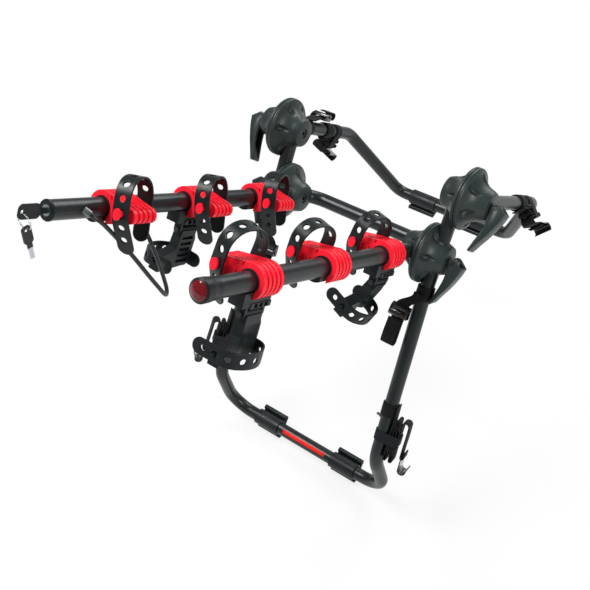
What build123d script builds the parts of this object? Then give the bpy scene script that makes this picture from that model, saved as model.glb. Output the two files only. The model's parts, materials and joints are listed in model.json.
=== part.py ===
# Trunk mounted bike rack: a folding tube frame with clamp hubs, two arms with
# ribbed cradles, hanging seat-tube holders, webbing straps and a locking cable.
# Millimetres. +Z up, +Y toward the car, +X to the right seen from behind.
# The origin is the middle of the two lower pads' contact faces.

from build123d import *
import os
from math import sin, cos, tan, radians, pi

os.makedirs("parts", exist_ok=True)

# Driving dimensions of the frame
frame_d = 25.4
frame_wall = 1.6
arm_d = 28.6
arm_wall = 1.5
arm_x = 133.0
hub_tube_depth = 19.0
lean_deg = 26.3
link_length = 110.5
leg_length = 394.0
foot_length = 131.0
foot_lean_deg = 17.3
knee_splay = 15.0
corner_splay = 4.0
splay_start = 80.0
knee_radius = 60.0
corner_radius = 52.0
arm_length = 587.0
arm_start = 60.0
cross_setback = 48.0
cross_radius = 44.0
upper_drop_deg = 29.0
upper_length = 272.0
upper_knee_radius = 45.0
upper_in = 75.0
upper_forward = 101.0
upper_down = 167.0
upper_corner_radius = 31.0
tube_overrun = 14.0

# Fits and clearances
fit = 0.05
soft_gap = 0.3
turn_gap = 0.25
overrun = 20.0
chamfer_size = 0.8

# Clamp hubs
rim_r = 53.5
rim_t = 4.5
rim_step = 2.0
hub_depth = 42.0
cap_r = 25.0
cap_edge = 2.5
waist_r = 27.5
waist_height = 33.0
bell_mid_r = 37.0
bell_mid_height = 15.5
axle_r = 5.0
bolt_head_r = 7.6
bolt_head_t = 5.0
bolt_recess_r = 8.4
bolt_recess_depth = 7.0
hex_af = 7.0
scallop_r = 6.5
scallop_count = 6
scallop_ring_r = 40.5
scallop_height = 13.5
scallop_length = 19.0
scallop_tip_r = 1.2
tooth_ring_r = 44.0
tooth_ring_in_r = 30.0
tooth_depth = 1.6
tooth_count = 10
tooth_width_deg = 14.0

# Cam levers on the outer hub halves
lever_pivot_height = 10.6
lever_cam_r = 9.8
lever_turns_deg = {"lower_left": 0.0, "lower_right": 0.0, "upper_left": 12.0, "upper_right": 12.0}
lever_width = 27.0
lever_t = 7.2
lever_reach = 78.0
lever_bow = 3.5
lever_tip_drop = 13.0
lever_edge_slope_deg = 8.0
eye_w = 12.0
eye_r = 7.5
lever_pin_r = 3.5

# Contact pads
pad_base = 7.0
foot_pad_length = 57.0
foot_pad_x = 94.5
foot_pad_width = 50.0
foot_pad_tilt_deg = 36.0
trunk_pad_length = 62.0
trunk_pad_x = 68.0
trunk_pad_width = 46.0
trunk_pad_tilt_deg = 64.0
pad_sleeve_t = 3.4
pad_bead_r = 5.0
pad_bead_bore_r = 2.6

# Cradles along the arms
cradle_places = ("near", "middle", "far")
cradle_tip_gap = 96.0
cradle_hub_gap = 139.0
cradle_r = 24.0
cradle_bore_r = 16.4
cradle_nose_r = 10.5
cradle_nose_x = 53.0
cradle_nose_z = 5.0
cradle_length = 44.0
flange_t = 7.0
rib_count = 4
rib_t = 5.6
rib_depth = 4.6
cradle_mouth = 25.0
peg_x = 46.0
peg_z = 7.0
peg_r = 4.0
peg_head_w = 12.0
peg_head_h = 17.0
peg_head_t = 3.4
eye_bump_x = 27.0
eye_bump_w = 8.0
eye_bump_h = 19.0
eye_bump_t = 2.6
slot_x = 15.0
slot_z = 18.5
slot_w = 2.6
slot_h = 6.0
slot_depth = 3.0
slot_turn_deg = 20.0
sleeve_proud = 2.0

# Rubber straps over the cradles
strap_w = 25.0
strap_t = 3.4
strap_front_gap = 9.5
strap_hole_r = 4.9
strap_hole_pitch = 21.0
strap_arch_r = 31.0
strap_tail = 50.0
strap_tail_back = 22.0
strap_yaw_deg = 14.0
strap_tilt_deg = 9.0
strap_bend_r = 22.0
strap_rear_drop = 36.0
strap_heights = {"left_near": 48.0, "left_middle": 46.0, "left_far": 46.0,
                 "right_near": 56.0, "right_middle": 48.0, "right_far": 50.0}
strap_leans = {"left_near": 8.0, "left_middle": -6.0, "left_far": 0.0,
               "right_near": -2.0, "right_middle": -6.0, "right_far": 0.0}

# Hanging seat-tube holders
mount_neck_w = 24.0
mount_neck_front = 17.0
mount_neck_low = 31.6
mount_w = 27.0
mount_top = 26.0
mount_bottom = 34.2
mount_ear_t = 5.0
mount_slot_w = 6.0
mount_slot_h = 5.0
mount_slot_count = 3
pivot_z = 46.0
pivot_r = 2.6
pivot_head_r = 4.4
pivot_head_t = 2.2
barrel_r = 7.0
holder_t = 18.0
holder_bottom = 108.0
holder_saddle_r = 27.0
holder_saddle_depth = 6.5
ladder_count = 5
ladder_pitch = 10.0
ladder_h = 5.6
ladder_depth = 4.0
nub_r = 4.0
nub_length = 8.0
holder_toe = -30.0
toe_drop = 6.0
toe_bend_share = 0.6
holder_hole_shares = (0.42, 0.54, 0.66)
holder_strap_w = 23.0
holder_strap_z = 96.0
holder_strap_t = 3.2
swing_shares = {"right_near": 0.0, "left_middle": 0.1, "right_far": -0.6}
swing_limit_deg = 40.0

# Arm ends
cap_length = 26.0
cap_over_r = 1.7
cap_neck_over_r = 0.7
reflector_r = 12.6
reflector_dome = 3.6
reflector_seat = 2.4
lock_r = 7.9
lock_length = 20.0
lock_proud = 3.0
lock_cap_length = 12.0
key_t = 2.4
key_neck_l = 9.0
key_neck_w = 8.0
key_bow_l = 36.0
key_bow_w = 21.0
key_blade_l = 15.0
key_blade_w = 6.0
key_hole_r = 3.0
spare_bow_l = 27.0
spare_bow_w = 15.0
ring_r = 12.5
ring_wire_r = 0.9

# Lock cable
cable_d = 6.5
ferrule_r = 5.2
ferrule_length = 11.0
gland_r = 6.0
gland_length = 12.0
ferrule_in = 22.0
ferrule_low = 1.0
ferrule_tip_gap = 55.0
gland_out = 21.0
gland_tip_gap = 163.0
arc_share = 0.45

# Webbing
web_w = 25.0
web_t = 2.4
web_pitch = 5.4
web_fold = 13.0
hank_layers = 4
tie_w = 20.0
tie_t = 1.6
tail_out = 13.0
lower_hank_at = {"left": 285.0, "right": 303.0}
lower_hank_length = 78.0
lower_hank_tail = 66.0
lower_hank_turns_deg = {"left": 45.0, "right": -10.0}
side_strap_turn_deg = 150.0
side_strap_tail = 92.0
upper_hank_at = {"left": 186.0, "right": 204.0}
upper_hank_length = 46.0
upper_hank_tail = 44.0
upper_hank_turns_deg = {"left": 70.0, "right": 45.0}
upper_buckle_at = 110.0
upper_buckle_tail = 64.0
buckle_w = 33.0
buckle_h = 22.0
buckle_t = 13.0
buckle_out = 9.0
hook_t = 2.0
hook_w = 32.0
hook_loop = 5.6
hook_bar = 4.0
hook_drop = 26.0
hook_reach = 14.0
hook_lip = 9.0
leg_screw_at = 308.5
screw_r = 2.5
screw_head_r = 4.2
screw_head_t = 2.4
screw_proud = 9.0

# Derived positions in the YZ plane
frame_r = frame_d / 2
cross_r = arm_d / 2 - arm_wall - fit
arm_r = arm_d / 2
cradle_first = arm_length - cradle_tip_gap
cradle_pitch = (cradle_first - cradle_hub_gap) / (len(cradle_places) - 1)
lean_sin = sin(radians(lean_deg))
lean_cos = cos(radians(lean_deg))
foot_sin = sin(radians(foot_lean_deg))
foot_cos = cos(radians(foot_lean_deg))
foot_normal = Vector(0, cos(radians(foot_pad_tilt_deg)), -sin(radians(foot_pad_tilt_deg)))
trunk_normal = Vector(0, cos(radians(trunk_pad_tilt_deg)), -sin(radians(trunk_pad_tilt_deg)))
up_link = Vector(0, lean_sin, lean_cos)
along_arm = Vector(0, -lean_cos, lean_sin)
upper_way = Vector(0, cos(radians(upper_drop_deg)), -sin(radians(upper_drop_deg)))
bar_point = foot_normal * -(frame_r + pad_base)
knee_point = bar_point + Vector(0, -foot_sin, foot_cos) * foot_length
lower_axis = knee_point + up_link * leg_length
upper_axis = lower_axis + up_link * link_length
upper_knee = upper_axis + upper_way * upper_length
upper_bar = upper_knee + Vector(0, upper_forward, -upper_down)
lower_rim_x = arm_x + hub_tube_depth
leg_x = lower_rim_x + hub_tube_depth
upper_rim_x = leg_x + hub_tube_depth
upper_x = upper_rim_x + hub_tube_depth
knee_x = leg_x + knee_splay
corner_x = knee_x + corner_splay
upper_corner_x = upper_x - upper_in
lever_pivot_z = hub_depth + lever_pivot_height
peg_head_gap = (peg_head_w / 2 * tan(radians(strap_yaw_deg)) + peg_head_h / 2 * tan(radians(strap_tilt_deg))
                + soft_gap)


def shifted(point, x):
    """The same point of the mirror plane, moved out along X."""
    return Vector(x, point.Y, point.Z)


def right_of(shape):
    """The right-hand twin of a left-hand shape."""
    return mirror(shape, about=Plane.YZ)


def as_is(shape):
    """The left-hand shape itself."""
    return shape


# The left arm's frame: X inward, Y along the arm toward the car, Z square to it
arm_frame = Plane(origin=(-arm_x, lower_axis.Y, lower_axis.Z), x_dir=(1, 0, 0), z_dir=up_link)

solids = {}


def keep(name, shape):
    solids[name] = shape


def tube(path, outer_r, inner_r):
    """A hollow tube swept along a path of runs and arcs."""
    start = Plane(origin=path @ 0, z_dir=path % 0)
    return sweep(start * (Circle(outer_r) - Circle(inner_r)), path=path)


def rod(start, end, radius):
    """A round bar between two points."""
    way = Vector(*end) - Vector(*start)
    return extrude(Plane(origin=start, z_dir=way) * Circle(radius), way.length)


# Main frame: two legs, their knees and the bottom bar, bent from one tube
def main_frame_tube():
    top = upper_axis + up_link * tube_overrun
    splay = lower_axis - up_link * splay_start
    left = [shifted(top, -leg_x), shifted(splay, -leg_x), shifted(knee_point, -knee_x),
            shifted(bar_point, -corner_x)]
    points = left + [Vector(-p.X, p.Y, p.Z) for p in reversed(left)]
    side_radii = [4 * knee_radius, knee_radius, corner_radius]
    path = FilletPolyline(*points, radius=side_radii + side_radii[::-1])
    shape = tube(path, frame_r, frame_r - frame_wall)
    for side in (-1, 1):
        for axis_point in (lower_axis, upper_axis):
            low = shifted(axis_point, side * (leg_x - frame_d))
            high = shifted(axis_point, side * (leg_x + frame_d))
            shape -= rod(low, high, axle_r + fit)
    return shape


def cross_bore():
    """The space that the cross tube takes in the hubs it passes through."""
    path = cross_path()
    start = Plane(origin=path @ 0, z_dir=path % 0)
    return sweep(start * Circle(cross_r + fit), path=path)


def upper_frame_tube():
    start = upper_axis - upper_way * tube_overrun
    left = [shifted(start, -upper_x), shifted(upper_knee, -upper_x), shifted(upper_bar, -upper_corner_x)]
    points = left + [Vector(-p.X, p.Y, p.Z) for p in reversed(left)]
    side_radii = [upper_knee_radius, upper_corner_radius]
    path = FilletPolyline(*points, radius=side_radii + side_radii[::-1])
    shape = tube(path, frame_r, frame_r - frame_wall)
    for side in (-1, 1):
        low = shifted(upper_axis, side * (upper_x - frame_d))
        high = shifted(upper_axis, side * (upper_x + frame_d))
        shape -= rod(low, high, axle_r + fit)
    return shape


def cross_path():
    start = lower_axis + along_arm * (arm_start + 2 * tube_overrun)
    back = lower_axis - along_arm * cross_setback
    points = [shifted(start, -arm_x), shifted(back, -arm_x), shifted(back, arm_x), shifted(start, arm_x)]
    return FilletPolyline(*points, radius=cross_radius)


def cross_tube():
    shape = tube(cross_path(), cross_r, cross_r - frame_wall)
    for side in (-1, 1):
        low = shifted(lower_axis, side * (arm_x - frame_d))
        high = shifted(lower_axis, side * (arm_x + frame_d))
        shape -= rod(low, high, axle_r + fit)
    return shape


# Clamp hubs: each half is a bell turned about the axle, with its rim at height 0
def hub_half(ways, tube_r, axle_end):
    """ways: angles of the tubes that enter it. axle_end: 'bolt' or 'lever'."""
    rim_low = turn_gap
    shoulder = rim_r - rim_step
    turned = [
        Line((axle_r + fit, rim_low), (rim_r, rim_low)),
        Line((rim_r, rim_low), (rim_r, rim_t)),
        Line((rim_r, rim_t), (shoulder, rim_t + rim_step)),
        ThreePointArc((shoulder, rim_t + rim_step), (bell_mid_r, bell_mid_height), (waist_r, waist_height)),
        Line((waist_r, waist_height), (cap_r, hub_depth - cap_edge)),
        Line((cap_r, hub_depth - cap_edge), (cap_r - cap_edge, hub_depth)),
        Line((cap_r - cap_edge, hub_depth), (axle_r + fit, hub_depth)),
        Line((axle_r + fit, hub_depth), (axle_r + fit, rim_low)),
    ]
    bell = revolve(make_face(Plane.XZ * Wire(turned)), Axis.Z)
    for i in range(scallop_count):
        angle = 360 / scallop_count * (i + 1 / 2)
        bell -= Rot(0, 0, angle) * scallop()
    for way in ways:
        reach = rim_r + overrun
        socket = Plane(origin=(-tube_overrun, 0, hub_tube_depth), z_dir=(1, 0, 0)) * Circle(tube_r + fit)
        bell -= Rot(0, 0, way) * extrude(socket, reach + tube_overrun)
    if axle_end == "bolt":
        bell -= Pos(0, 0, hub_depth - bolt_recess_depth) * extrude(Circle(bolt_recess_r), overrun)
    for i in range(tooth_count):
        tooth = Pos((tooth_ring_r + tooth_ring_in_r) / 2, 0, rim_low) * Box(
            tooth_ring_r - tooth_ring_in_r, tooth_ring_r * radians(tooth_width_deg), 2 * tooth_depth)
        bell -= Rot(0, 0, 360 / tooth_count * i) * tooth
    return bell


def scallop():
    """A teardrop hollow on the bell, with its point toward the cap."""
    centre = Vector(scallop_ring_r, 0, scallop_height)
    way = Vector(waist_r - scallop_ring_r, 0, waist_height - scallop_height).normalized()
    bed = Plane(origin=centre, z_dir=way)
    cone = Pos(0, 0, scallop_length / 2) * Cone(scallop_r, scallop_tip_r, scallop_length)
    return bed * (Sphere(scallop_r) + cone)


def place_half(x, axis_point, tube_way, outward):
    """A frame for a hub half: Z away from the rim, X along its tube."""
    return Plane(origin=shifted(axis_point, x), x_dir=tube_way, z_dir=(outward, 0, 0))


hub_frames = {
    "lower_inner": place_half(-lower_rim_x, lower_axis, along_arm, 1),
    "lower_outer": place_half(-lower_rim_x, lower_axis, up_link, -1),
    "upper_inner": place_half(-upper_rim_x, upper_axis, up_link * -1, 1),
    "upper_outer": place_half(-upper_rim_x, upper_axis, upper_way, -1),
}


def axle_bolt():
    """Bolt through both halves, along Z: hex-socket head inside, cross-drilled eye outside."""
    head_low = -hub_depth + bolt_recess_depth - bolt_head_t
    bolt = Pos(0, 0, -hub_depth + bolt_recess_depth) * extrude(
        Circle(axle_r), hub_depth - bolt_recess_depth + lever_pivot_z)
    bolt += Pos(0, 0, head_low) * extrude(Circle(bolt_head_r), bolt_head_t)
    hexagon = RegularPolygon(hex_af / 2, 6, major_radius=False)
    bolt -= Pos(0, 0, head_low - fit) * extrude(hexagon, bolt_head_t / 2)
    eye = Plane(origin=(0, -eye_w / 2, lever_pivot_z), z_dir=(0, 1, 0)) * Circle(eye_r)
    bolt += extrude(eye, eye_w)
    pin = Plane(origin=(0, -eye_w, lever_pivot_z), z_dir=(0, 1, 0)) * Circle(lever_pin_r + fit)
    bolt -= extrude(pin, 2 * eye_w)
    return bolt


def lever():
    """Cam lever in the hub frame: pivot pin along Y, lying along X, Z away from the hub."""
    tip = (lever_reach, lever_pivot_z - lever_tip_drop)
    root = (0, lever_pivot_z)
    middle = (lever_reach / 2, (root[1] + tip[1]) / 2 + lever_bow)
    half = lever_t / 2
    upper = ThreePointArc((0, root[1] + half), (middle[0], middle[1] + half), (tip[0], tip[1] + half))
    lower = ThreePointArc((tip[0], tip[1] - half), (middle[0], middle[1] - half), (0, root[1] - half))
    ends = [Line(upper @ 1, lower @ 0), Line(lower @ 1, upper @ 0)]
    face = make_face(Plane.XZ * Wire([upper, ends[0], lower, ends[1]]))
    face += Plane(origin=(0, 0, lever_pivot_z), x_dir=(1, 0, 0), z_dir=(0, -1, 0)) * Circle(lever_cam_r)
    arm = extrude(face, lever_width / 2, both=True)
    tip_edges = arm.edges().filter_by(Axis.Z, tolerance=lever_edge_slope_deg).group_by(Axis.X)[-1]
    arm = fillet(tip_edges, lever_width / 4)
    arm -= Pos(0, 0, lever_pivot_z) * Box(2 * (lever_cam_r + turn_gap), eye_w + 2 * turn_gap, 3 * lever_cam_r)
    channel = Pos(lever_reach / 2 + lever_cam_r, 0, lever_pivot_z - lever_tip_drop / 2 - lever_t) * Box(
        lever_reach / 2, lever_width - 2 * lever_t, lever_t)
    arm -= channel
    pin = Plane(origin=(0, -lever_width, lever_pivot_z), z_dir=(0, 1, 0)) * Circle(lever_pin_r + fit)
    arm -= extrude(pin, 2 * lever_width)
    return arm


def lever_pin():
    half = lever_width / 2 - chamfer_size
    face = Plane(origin=(0, -half, lever_pivot_z), z_dir=(0, 1, 0)) * Circle(lever_pin_r)
    return extrude(face, 2 * half)


def lever_frame(level, turn):
    """The outer hub frame turned so that its X runs down the link, or turned from it toward the arms."""
    base = hub_frames[level + "_outer"]
    down = up_link * -1
    way = down * cos(radians(turn)) + along_arm * sin(radians(turn))
    return Plane(origin=base.origin, x_dir=way, z_dir=base.z_dir)


# Contact pads: a sleeve on the bar, a flat plate on the car side, beads along its edges
def pad(bar, x, normal, length, width):
    across = Vector(1, 0, 0)
    section = Plane(origin=shifted(bar, x) - across * (length / 2), x_dir=normal, z_dir=across)
    plate_t = pad_base - pad_sleeve_t / 2
    face = Circle(frame_r + pad_sleeve_t)
    face += Pos(frame_r + pad_base - plate_t / 2, 0) * Rectangle(plate_t, width - 2 * pad_bead_r)
    for edge in (-1, 1):
        bead = Pos(frame_r + pad_base - pad_bead_r, edge * (width / 2 - pad_bead_r))
        face += bead * Circle(pad_bead_r)
        face -= bead * Circle(pad_bead_bore_r)
    face -= Circle(frame_r + fit)
    return extrude(section * face, length)


# Cradles: a flange and ribs of one teardrop outline round the arm, with a nose inward
def teardrop(shrink):
    """Hull of the ring and the nose, drawn in by shrink, in the arm's cross-section."""
    big_r = cradle_r - shrink
    small_r = cradle_nose_r - shrink
    ring = Circle(big_r).edges()
    nose = (Pos(cradle_nose_x, cradle_nose_z) * Circle(small_r)).edges()
    return make_hull(ring + nose)


def section_at(y):
    """The cross-section plane at a distance behind the cradle's front face."""
    return Plane(origin=(0, y, 0), x_dir=(1, 0, 0), z_dir=(0, -1, 0))


def cradle():
    shape = extrude(section_at(flange_t) * teardrop(0), flange_t)
    shape += extrude(section_at(cradle_length) * teardrop(rib_depth), cradle_length)
    step = (cradle_length - flange_t) / rib_count
    for i in range(rib_count):
        back = flange_t + step * (i + 1)
        shape += extrude(section_at(back) * teardrop(0), rib_t)
    shape -= extrude(section_at(cradle_length + overrun) * Circle(cradle_bore_r), cradle_length + 2 * overrun)
    mouth_h = 2 * (cradle_r - arm_r) + cradle_r / 2
    shape -= Pos(0, cradle_length / 2, -cradle_r) * Box(cradle_mouth, 2 * cradle_length, mouth_h)
    bump = Pos(eye_bump_x, 0) * SlotOverall(eye_bump_h, eye_bump_w, rotation=90)
    shape += extrude(section_at(0) * bump, eye_bump_t)
    slot = Pos(slot_x, slot_z) * Rectangle(slot_w, slot_h, rotation=slot_turn_deg)
    shape -= extrude(section_at(slot_depth) * slot, overrun)
    peg_spot = Pos(peg_x, peg_z)
    front = strap_front_gap + strap_t + peg_head_gap
    shape += extrude(section_at(0) * (peg_spot * Circle(peg_r)), front)
    shape += extrude(section_at(-front) * (peg_spot * Ellipse(peg_head_w / 2, peg_head_h / 2)), peg_head_t)
    rear = strap_back_y() + strap_t / 2
    rear_spot = Pos(rear_peg_spot(), peg_z)
    shape += extrude(section_at(rear) * (rear_spot * Circle(peg_r)), rear - cradle_length + rib_t)
    return shape


def cradle_sleeve():
    """Thin black liner between the arm and the cradle."""
    ring = Circle(cradle_bore_r - fit) - Circle(arm_r + fit)
    ring -= Pos(0, -cradle_r) * Rectangle(cradle_mouth, 2 * cradle_r - arm_r)
    return extrude(section_at(cradle_length + sleeve_proud) * ring, cradle_length + 2 * sleeve_proud)


def tube_clip():
    """Clip that closes the mouth under the arm where nothing hangs from it."""
    inner = mount_neck_w / 2
    ring = (Circle(cradle_bore_r + 2 * sleeve_proud) - Circle(arm_r + fit)) & (
        Pos(0, -cradle_r) * Rectangle(2 * inner, 2 * cradle_r - arm_r))
    return extrude(section_at(cradle_length) * ring, cradle_length + mount_neck_front)


def band(plane, points, radii, width, thickness, holes, hole_r, rounded_start, rounded_end):
    """A flat strap: a rectangle swept along a flat path, with round ends and punched holes."""
    path = plane * FilletPolyline(*points, radius=radii)
    start = Plane(origin=path @ 0, x_dir=plane.z_dir, z_dir=path % 0)
    shape = sweep(start * Rectangle(width, thickness), path=path)
    for wanted, at_end in ((rounded_start, 0), (rounded_end, 1)):
        if wanted:
            face_way = (path % at_end).cross(plane.z_dir)
            middle = (path @ at_end) - face_way * (thickness / 2)
            shape += extrude(Plane(origin=middle, z_dir=face_way) * Circle(width / 2), thickness)
    for distance in holes:
        spot = path.position_at(distance, position_mode=PositionMode.LENGTH)
        run = path.tangent_at(distance, position_mode=PositionMode.LENGTH)
        face_way = run.cross(plane.z_dir)
        bore = Plane(origin=spot - face_way * thickness, z_dir=face_way) * Circle(hole_r)
        shape -= extrude(bore, 2 * thickness)
    return shape


def strap_plane():
    """The plane of a cradle strap's loop: through the front peg, yawed and tilted toward the arm."""
    yaw = radians(strap_yaw_deg)
    tilt = radians(strap_tilt_deg)
    back_way = Vector(-sin(yaw), cos(yaw), 0)
    up_way = Vector(-cos(yaw) * sin(tilt), -sin(yaw) * sin(tilt), cos(tilt))
    front = -(strap_front_gap + strap_t / 2)
    return Plane(origin=(peg_x, front, peg_z), x_dir=back_way, z_dir=back_way.cross(up_way))


def rear_peg_spot():
    """Where the strap's rear leg meets the cradle's back: its X in the arm frame."""
    front = -(strap_front_gap + strap_t / 2)
    return peg_x - (strap_back_y() - front) * tan(radians(strap_yaw_deg))


def strap_back_y():
    """How far behind the cradle's front face the middle of the rear leg stands."""
    return cradle_length + soft_gap + strap_t / 2 + strap_w / 2 * sin(radians(strap_yaw_deg)) + turn_gap


def cradle_strap(height, lean_back):
    """Loop strap over the cradle: hanging tail, front leg on the peg, arch, rear leg on the rear peg."""
    front = -(strap_front_gap + strap_t / 2)
    span = (strap_back_y() - front) / cos(radians(strap_yaw_deg))
    points = [(strap_tail_back, -strap_tail), (0, -2 * peg_r), (lean_back, height),
              (span + max(lean_back, 0), height), (span, -strap_rear_drop)]
    arch_r = min(strap_arch_r, span / 2 * (1 - fit))
    radii = [strap_bend_r, arch_r, arch_r]
    whole = FilletPolyline(*points, radius=radii).length
    tail_run = Vector(*points[1]) - Vector(*points[0])
    bend = radians(tail_run.get_angle(Vector(*points[2]) - Vector(*points[1])))
    saved = strap_bend_r * (2 * tan(bend / 2) - bend)
    peg_at = tail_run.length + 2 * peg_r - saved
    rear_peg_at = whole - strap_rear_drop
    first = peg_at - strap_hole_pitch * int(peg_at / strap_hole_pitch)
    count = int((rear_peg_at - strap_hole_pitch * 2 / 3 - first) / strap_hole_pitch) + 1
    holes = [first + strap_hole_pitch * i for i in range(count)] + [rear_peg_at]
    return band(strap_plane(), points, radii, strap_w, strap_t, holes, strap_hole_r, True, True)


# Hanging holders for the bike's seat tube
def holder_mount():
    """Block under the arm, with two ears for the pivot screw."""
    neck_top = arm_r * 3 / 4
    neck_face = Pos(0, -(neck_top + mount_neck_low) / 2) * Rectangle(mount_neck_w, mount_neck_low - neck_top)
    neck = extrude(section_at(cradle_length) * neck_face, cradle_length + mount_neck_front)
    through = cradle_length + 2 * overrun
    neck -= extrude(section_at(cradle_length + overrun) * Circle(arm_r + fit), through + mount_neck_front)
    box_h = mount_bottom - mount_top
    body_face = Pos(0, -mount_top - box_h / 2) * Rectangle(mount_w, box_h)
    shape = neck + extrude(section_at(cradle_length) * body_face, cradle_length)
    for y in (0, cradle_length - mount_ear_t):
        ear = (Pos(0, -pivot_z) * Circle(barrel_r)) + (
            Pos(0, -(mount_bottom + pivot_z) / 2) * Rectangle(2 * barrel_r, pivot_z - mount_bottom + fit))
        shape += extrude(section_at(y + mount_ear_t) * ear, mount_ear_t)
    step = cradle_length / (mount_slot_count + 1)
    for i in range(mount_slot_count):
        slot = Box(2 * mount_w, mount_slot_w, mount_slot_h)
        shape -= Pos(0, step * (i + 1), -(mount_top + mount_bottom) / 2) * slot
    return shape - pivot_bore()


def pivot_bore():
    """The pivot screw's way through the ears and the holder's barrel."""
    face = Pos(0, -pivot_z) * Circle(pivot_r + fit)
    return extrude(section_at(cradle_length + overrun) * face, cradle_length + 2 * overrun)


def pivot_screw():
    shape = extrude(section_at(cradle_length) * (Pos(0, -pivot_z) * Circle(pivot_r)), cradle_length)
    shape += extrude(section_at(0) * (Pos(0, -pivot_z) * Circle(pivot_head_r)), pivot_head_t)
    return shape


holder_front = mount_ear_t + turn_gap
holder_back = cradle_length - mount_ear_t - turn_gap


def holder():
    """Swinging holder: barrel, hollowed pad face, ladder ribs at its back, toe and strap nubs."""
    top = -pivot_z
    ear_low = top - barrel_r - turn_gap
    low = -holder_bottom
    span = holder_bottom - pivot_z
    waist_y = holder_front - span / 30
    heel_y = cradle_length - span / 30
    toe_top = -holder_strap_z + 2 * nub_r
    waist_z = top - span / 2
    bend_z = waist_z + (toe_top - waist_z) * toe_bend_share
    toe_low = low - toe_drop
    outline = [
        Line((holder_front, top), (holder_front, ear_low)),
        Line((holder_front, ear_low), (waist_y, waist_z)),
        ThreePointArc((waist_y, waist_z), ((waist_y + holder_toe) / 2, bend_z), (holder_toe, toe_top)),
        Line((holder_toe, toe_top), (holder_toe, toe_low)),
        Line((holder_toe, toe_low), (holder_toe + toe_drop, toe_low)),
        Line((holder_toe + toe_drop, toe_low), (heel_y - span / 4, low)),
        Line((heel_y - span / 4, low), (heel_y - span / 9, low)),
        Line((heel_y - span / 9, low), (heel_y, low + span / 9)),
        Line((heel_y, low + span / 9), (heel_y, top - span / 4)),
        Line((heel_y, top - span / 4), (holder_back, ear_low)),
        Line((holder_back, ear_low), (holder_back, top)),
        Line((holder_back, top), (holder_front, top)),
    ]
    side = Plane(origin=(0, 0, 0), x_dir=(0, 1, 0), z_dir=(1, 0, 0))
    shape = extrude(side * make_face(Wire(outline)), holder_t / 2, both=True)
    barrel = Pos(0, -pivot_z) * Circle(barrel_r)
    shape += extrude(section_at(holder_back) * barrel, holder_back - holder_front)
    saddle_x = -(holder_t / 2 + holder_saddle_r - holder_saddle_depth)
    saddle = Pos(saddle_x, cradle_length / 2, low - overrun) * extrude(
        Circle(holder_saddle_r), holder_bottom - pivot_z - barrel_r - lever_t + overrun)
    shape -= saddle
    for i in range(ladder_count):
        rung = top - barrel_r - ladder_h - i * ladder_pitch
        shape -= Pos(holder_t / 2, (holder_front + holder_back) / 2, rung) * Box(
            2 * ladder_depth, holder_back - holder_front - 2 * ladder_depth, ladder_h)
    heel_nub = Plane(origin=(0, heel_y - fit, -holder_strap_z), z_dir=(0, 1, 0))
    shape += heel_nub * extrude(Circle(nub_r / 2), nub_length)
    toe_nub = Plane(origin=(0, holder_toe + fit, -holder_strap_z), z_dir=(0, -1, 0))
    shape += toe_nub * extrude(Circle(nub_r / 2), nub_length)
    return shape - pivot_bore()


def holder_strap():
    """Rubber strap round the holder's foot, standing on edge, buttoned on the toe nub."""
    front = holder_toe - soft_gap - holder_strap_t / 2
    heel_y = cradle_length - (holder_bottom - pivot_z) / 30
    back = heel_y + soft_gap + holder_strap_t / 2
    plane = Plane(origin=(0, 0, -holder_strap_z), x_dir=(1, 0, 0), z_dir=(0, 0, 1))
    points = [(strap_w, front), (-holder_t, front), (-2 * holder_t, cradle_length / 3), (-holder_t, back),
              (holder_t, back)]
    bend = holder_t * 3 / 5
    radii = [bend, bend, bend]
    path = FilletPolyline(*points, radius=radii)
    holes = [strap_w] + [path.length * share for share in holder_hole_shares] + [path.length - holder_t]
    return band(plane, points, radii, holder_strap_w, holder_strap_t, holes, strap_hole_r * 2 / 3, True, True)


def swung(shape, share):
    """A holder piece turned about its pivot screw to the angle it hangs at."""
    angle = share * swing_limit_deg
    return Pos(0, 0, -pivot_z) * Rot(0, angle, 0) * Pos(0, 0, pivot_z) * shape


def at_cradle(index):
    """The arm frame moved to a cradle: 0 near, 1 middle, 2 far."""
    return arm_frame.location * Pos(0, -(cradle_first - index * cradle_pitch), 0)


# Arms and what closes their ends
def arm_tube():
    face = section_at(-arm_start) * (Circle(arm_r) - Circle(arm_r - arm_wall))
    return extrude(face, arm_length - arm_start)


def in_arm(x, y, z):
    """A point of the left arm's frame, in the part's frame."""
    return (arm_frame.location * Pos(x, y, z)).position


def fitting_axis(spot, way, radius, inset, reach):
    """A round plug along a line of the left arm's frame, from inset below a spot to reach beyond it."""
    start = in_arm(*spot)
    end = in_arm(*(Vector(*spot) + Vector(*way)))
    line = (end - start).normalized()
    return extrude(Plane(origin=start - line * inset, z_dir=line) * Circle(radius), inset + reach)


def end_cap_right():
    """Tapered cap with a seat for the reflector, at the right arm's tip."""
    tip_y = -arm_length
    neck_r = arm_r + cap_neck_over_r
    cap_outer_r = arm_r + cap_over_r
    seat_r = reflector_r + fit
    seat_y = tip_y - fit - reflector_seat / 2
    corners = [
        (arm_r + fit, tip_y + cap_length), (neck_r, tip_y + cap_length), (neck_r, tip_y + cap_length * 2 / 3),
        (cap_outer_r, tip_y + cap_length / 3), (cap_outer_r, tip_y - cap_over_r),
        (seat_r, tip_y - 2 * cap_over_r), (seat_r, seat_y), (0, seat_y), (0, tip_y - fit),
        (arm_r + fit, tip_y - fit),
    ]
    return revolve(make_face(Polyline(*corners, close=True)), Axis.Y)


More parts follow.
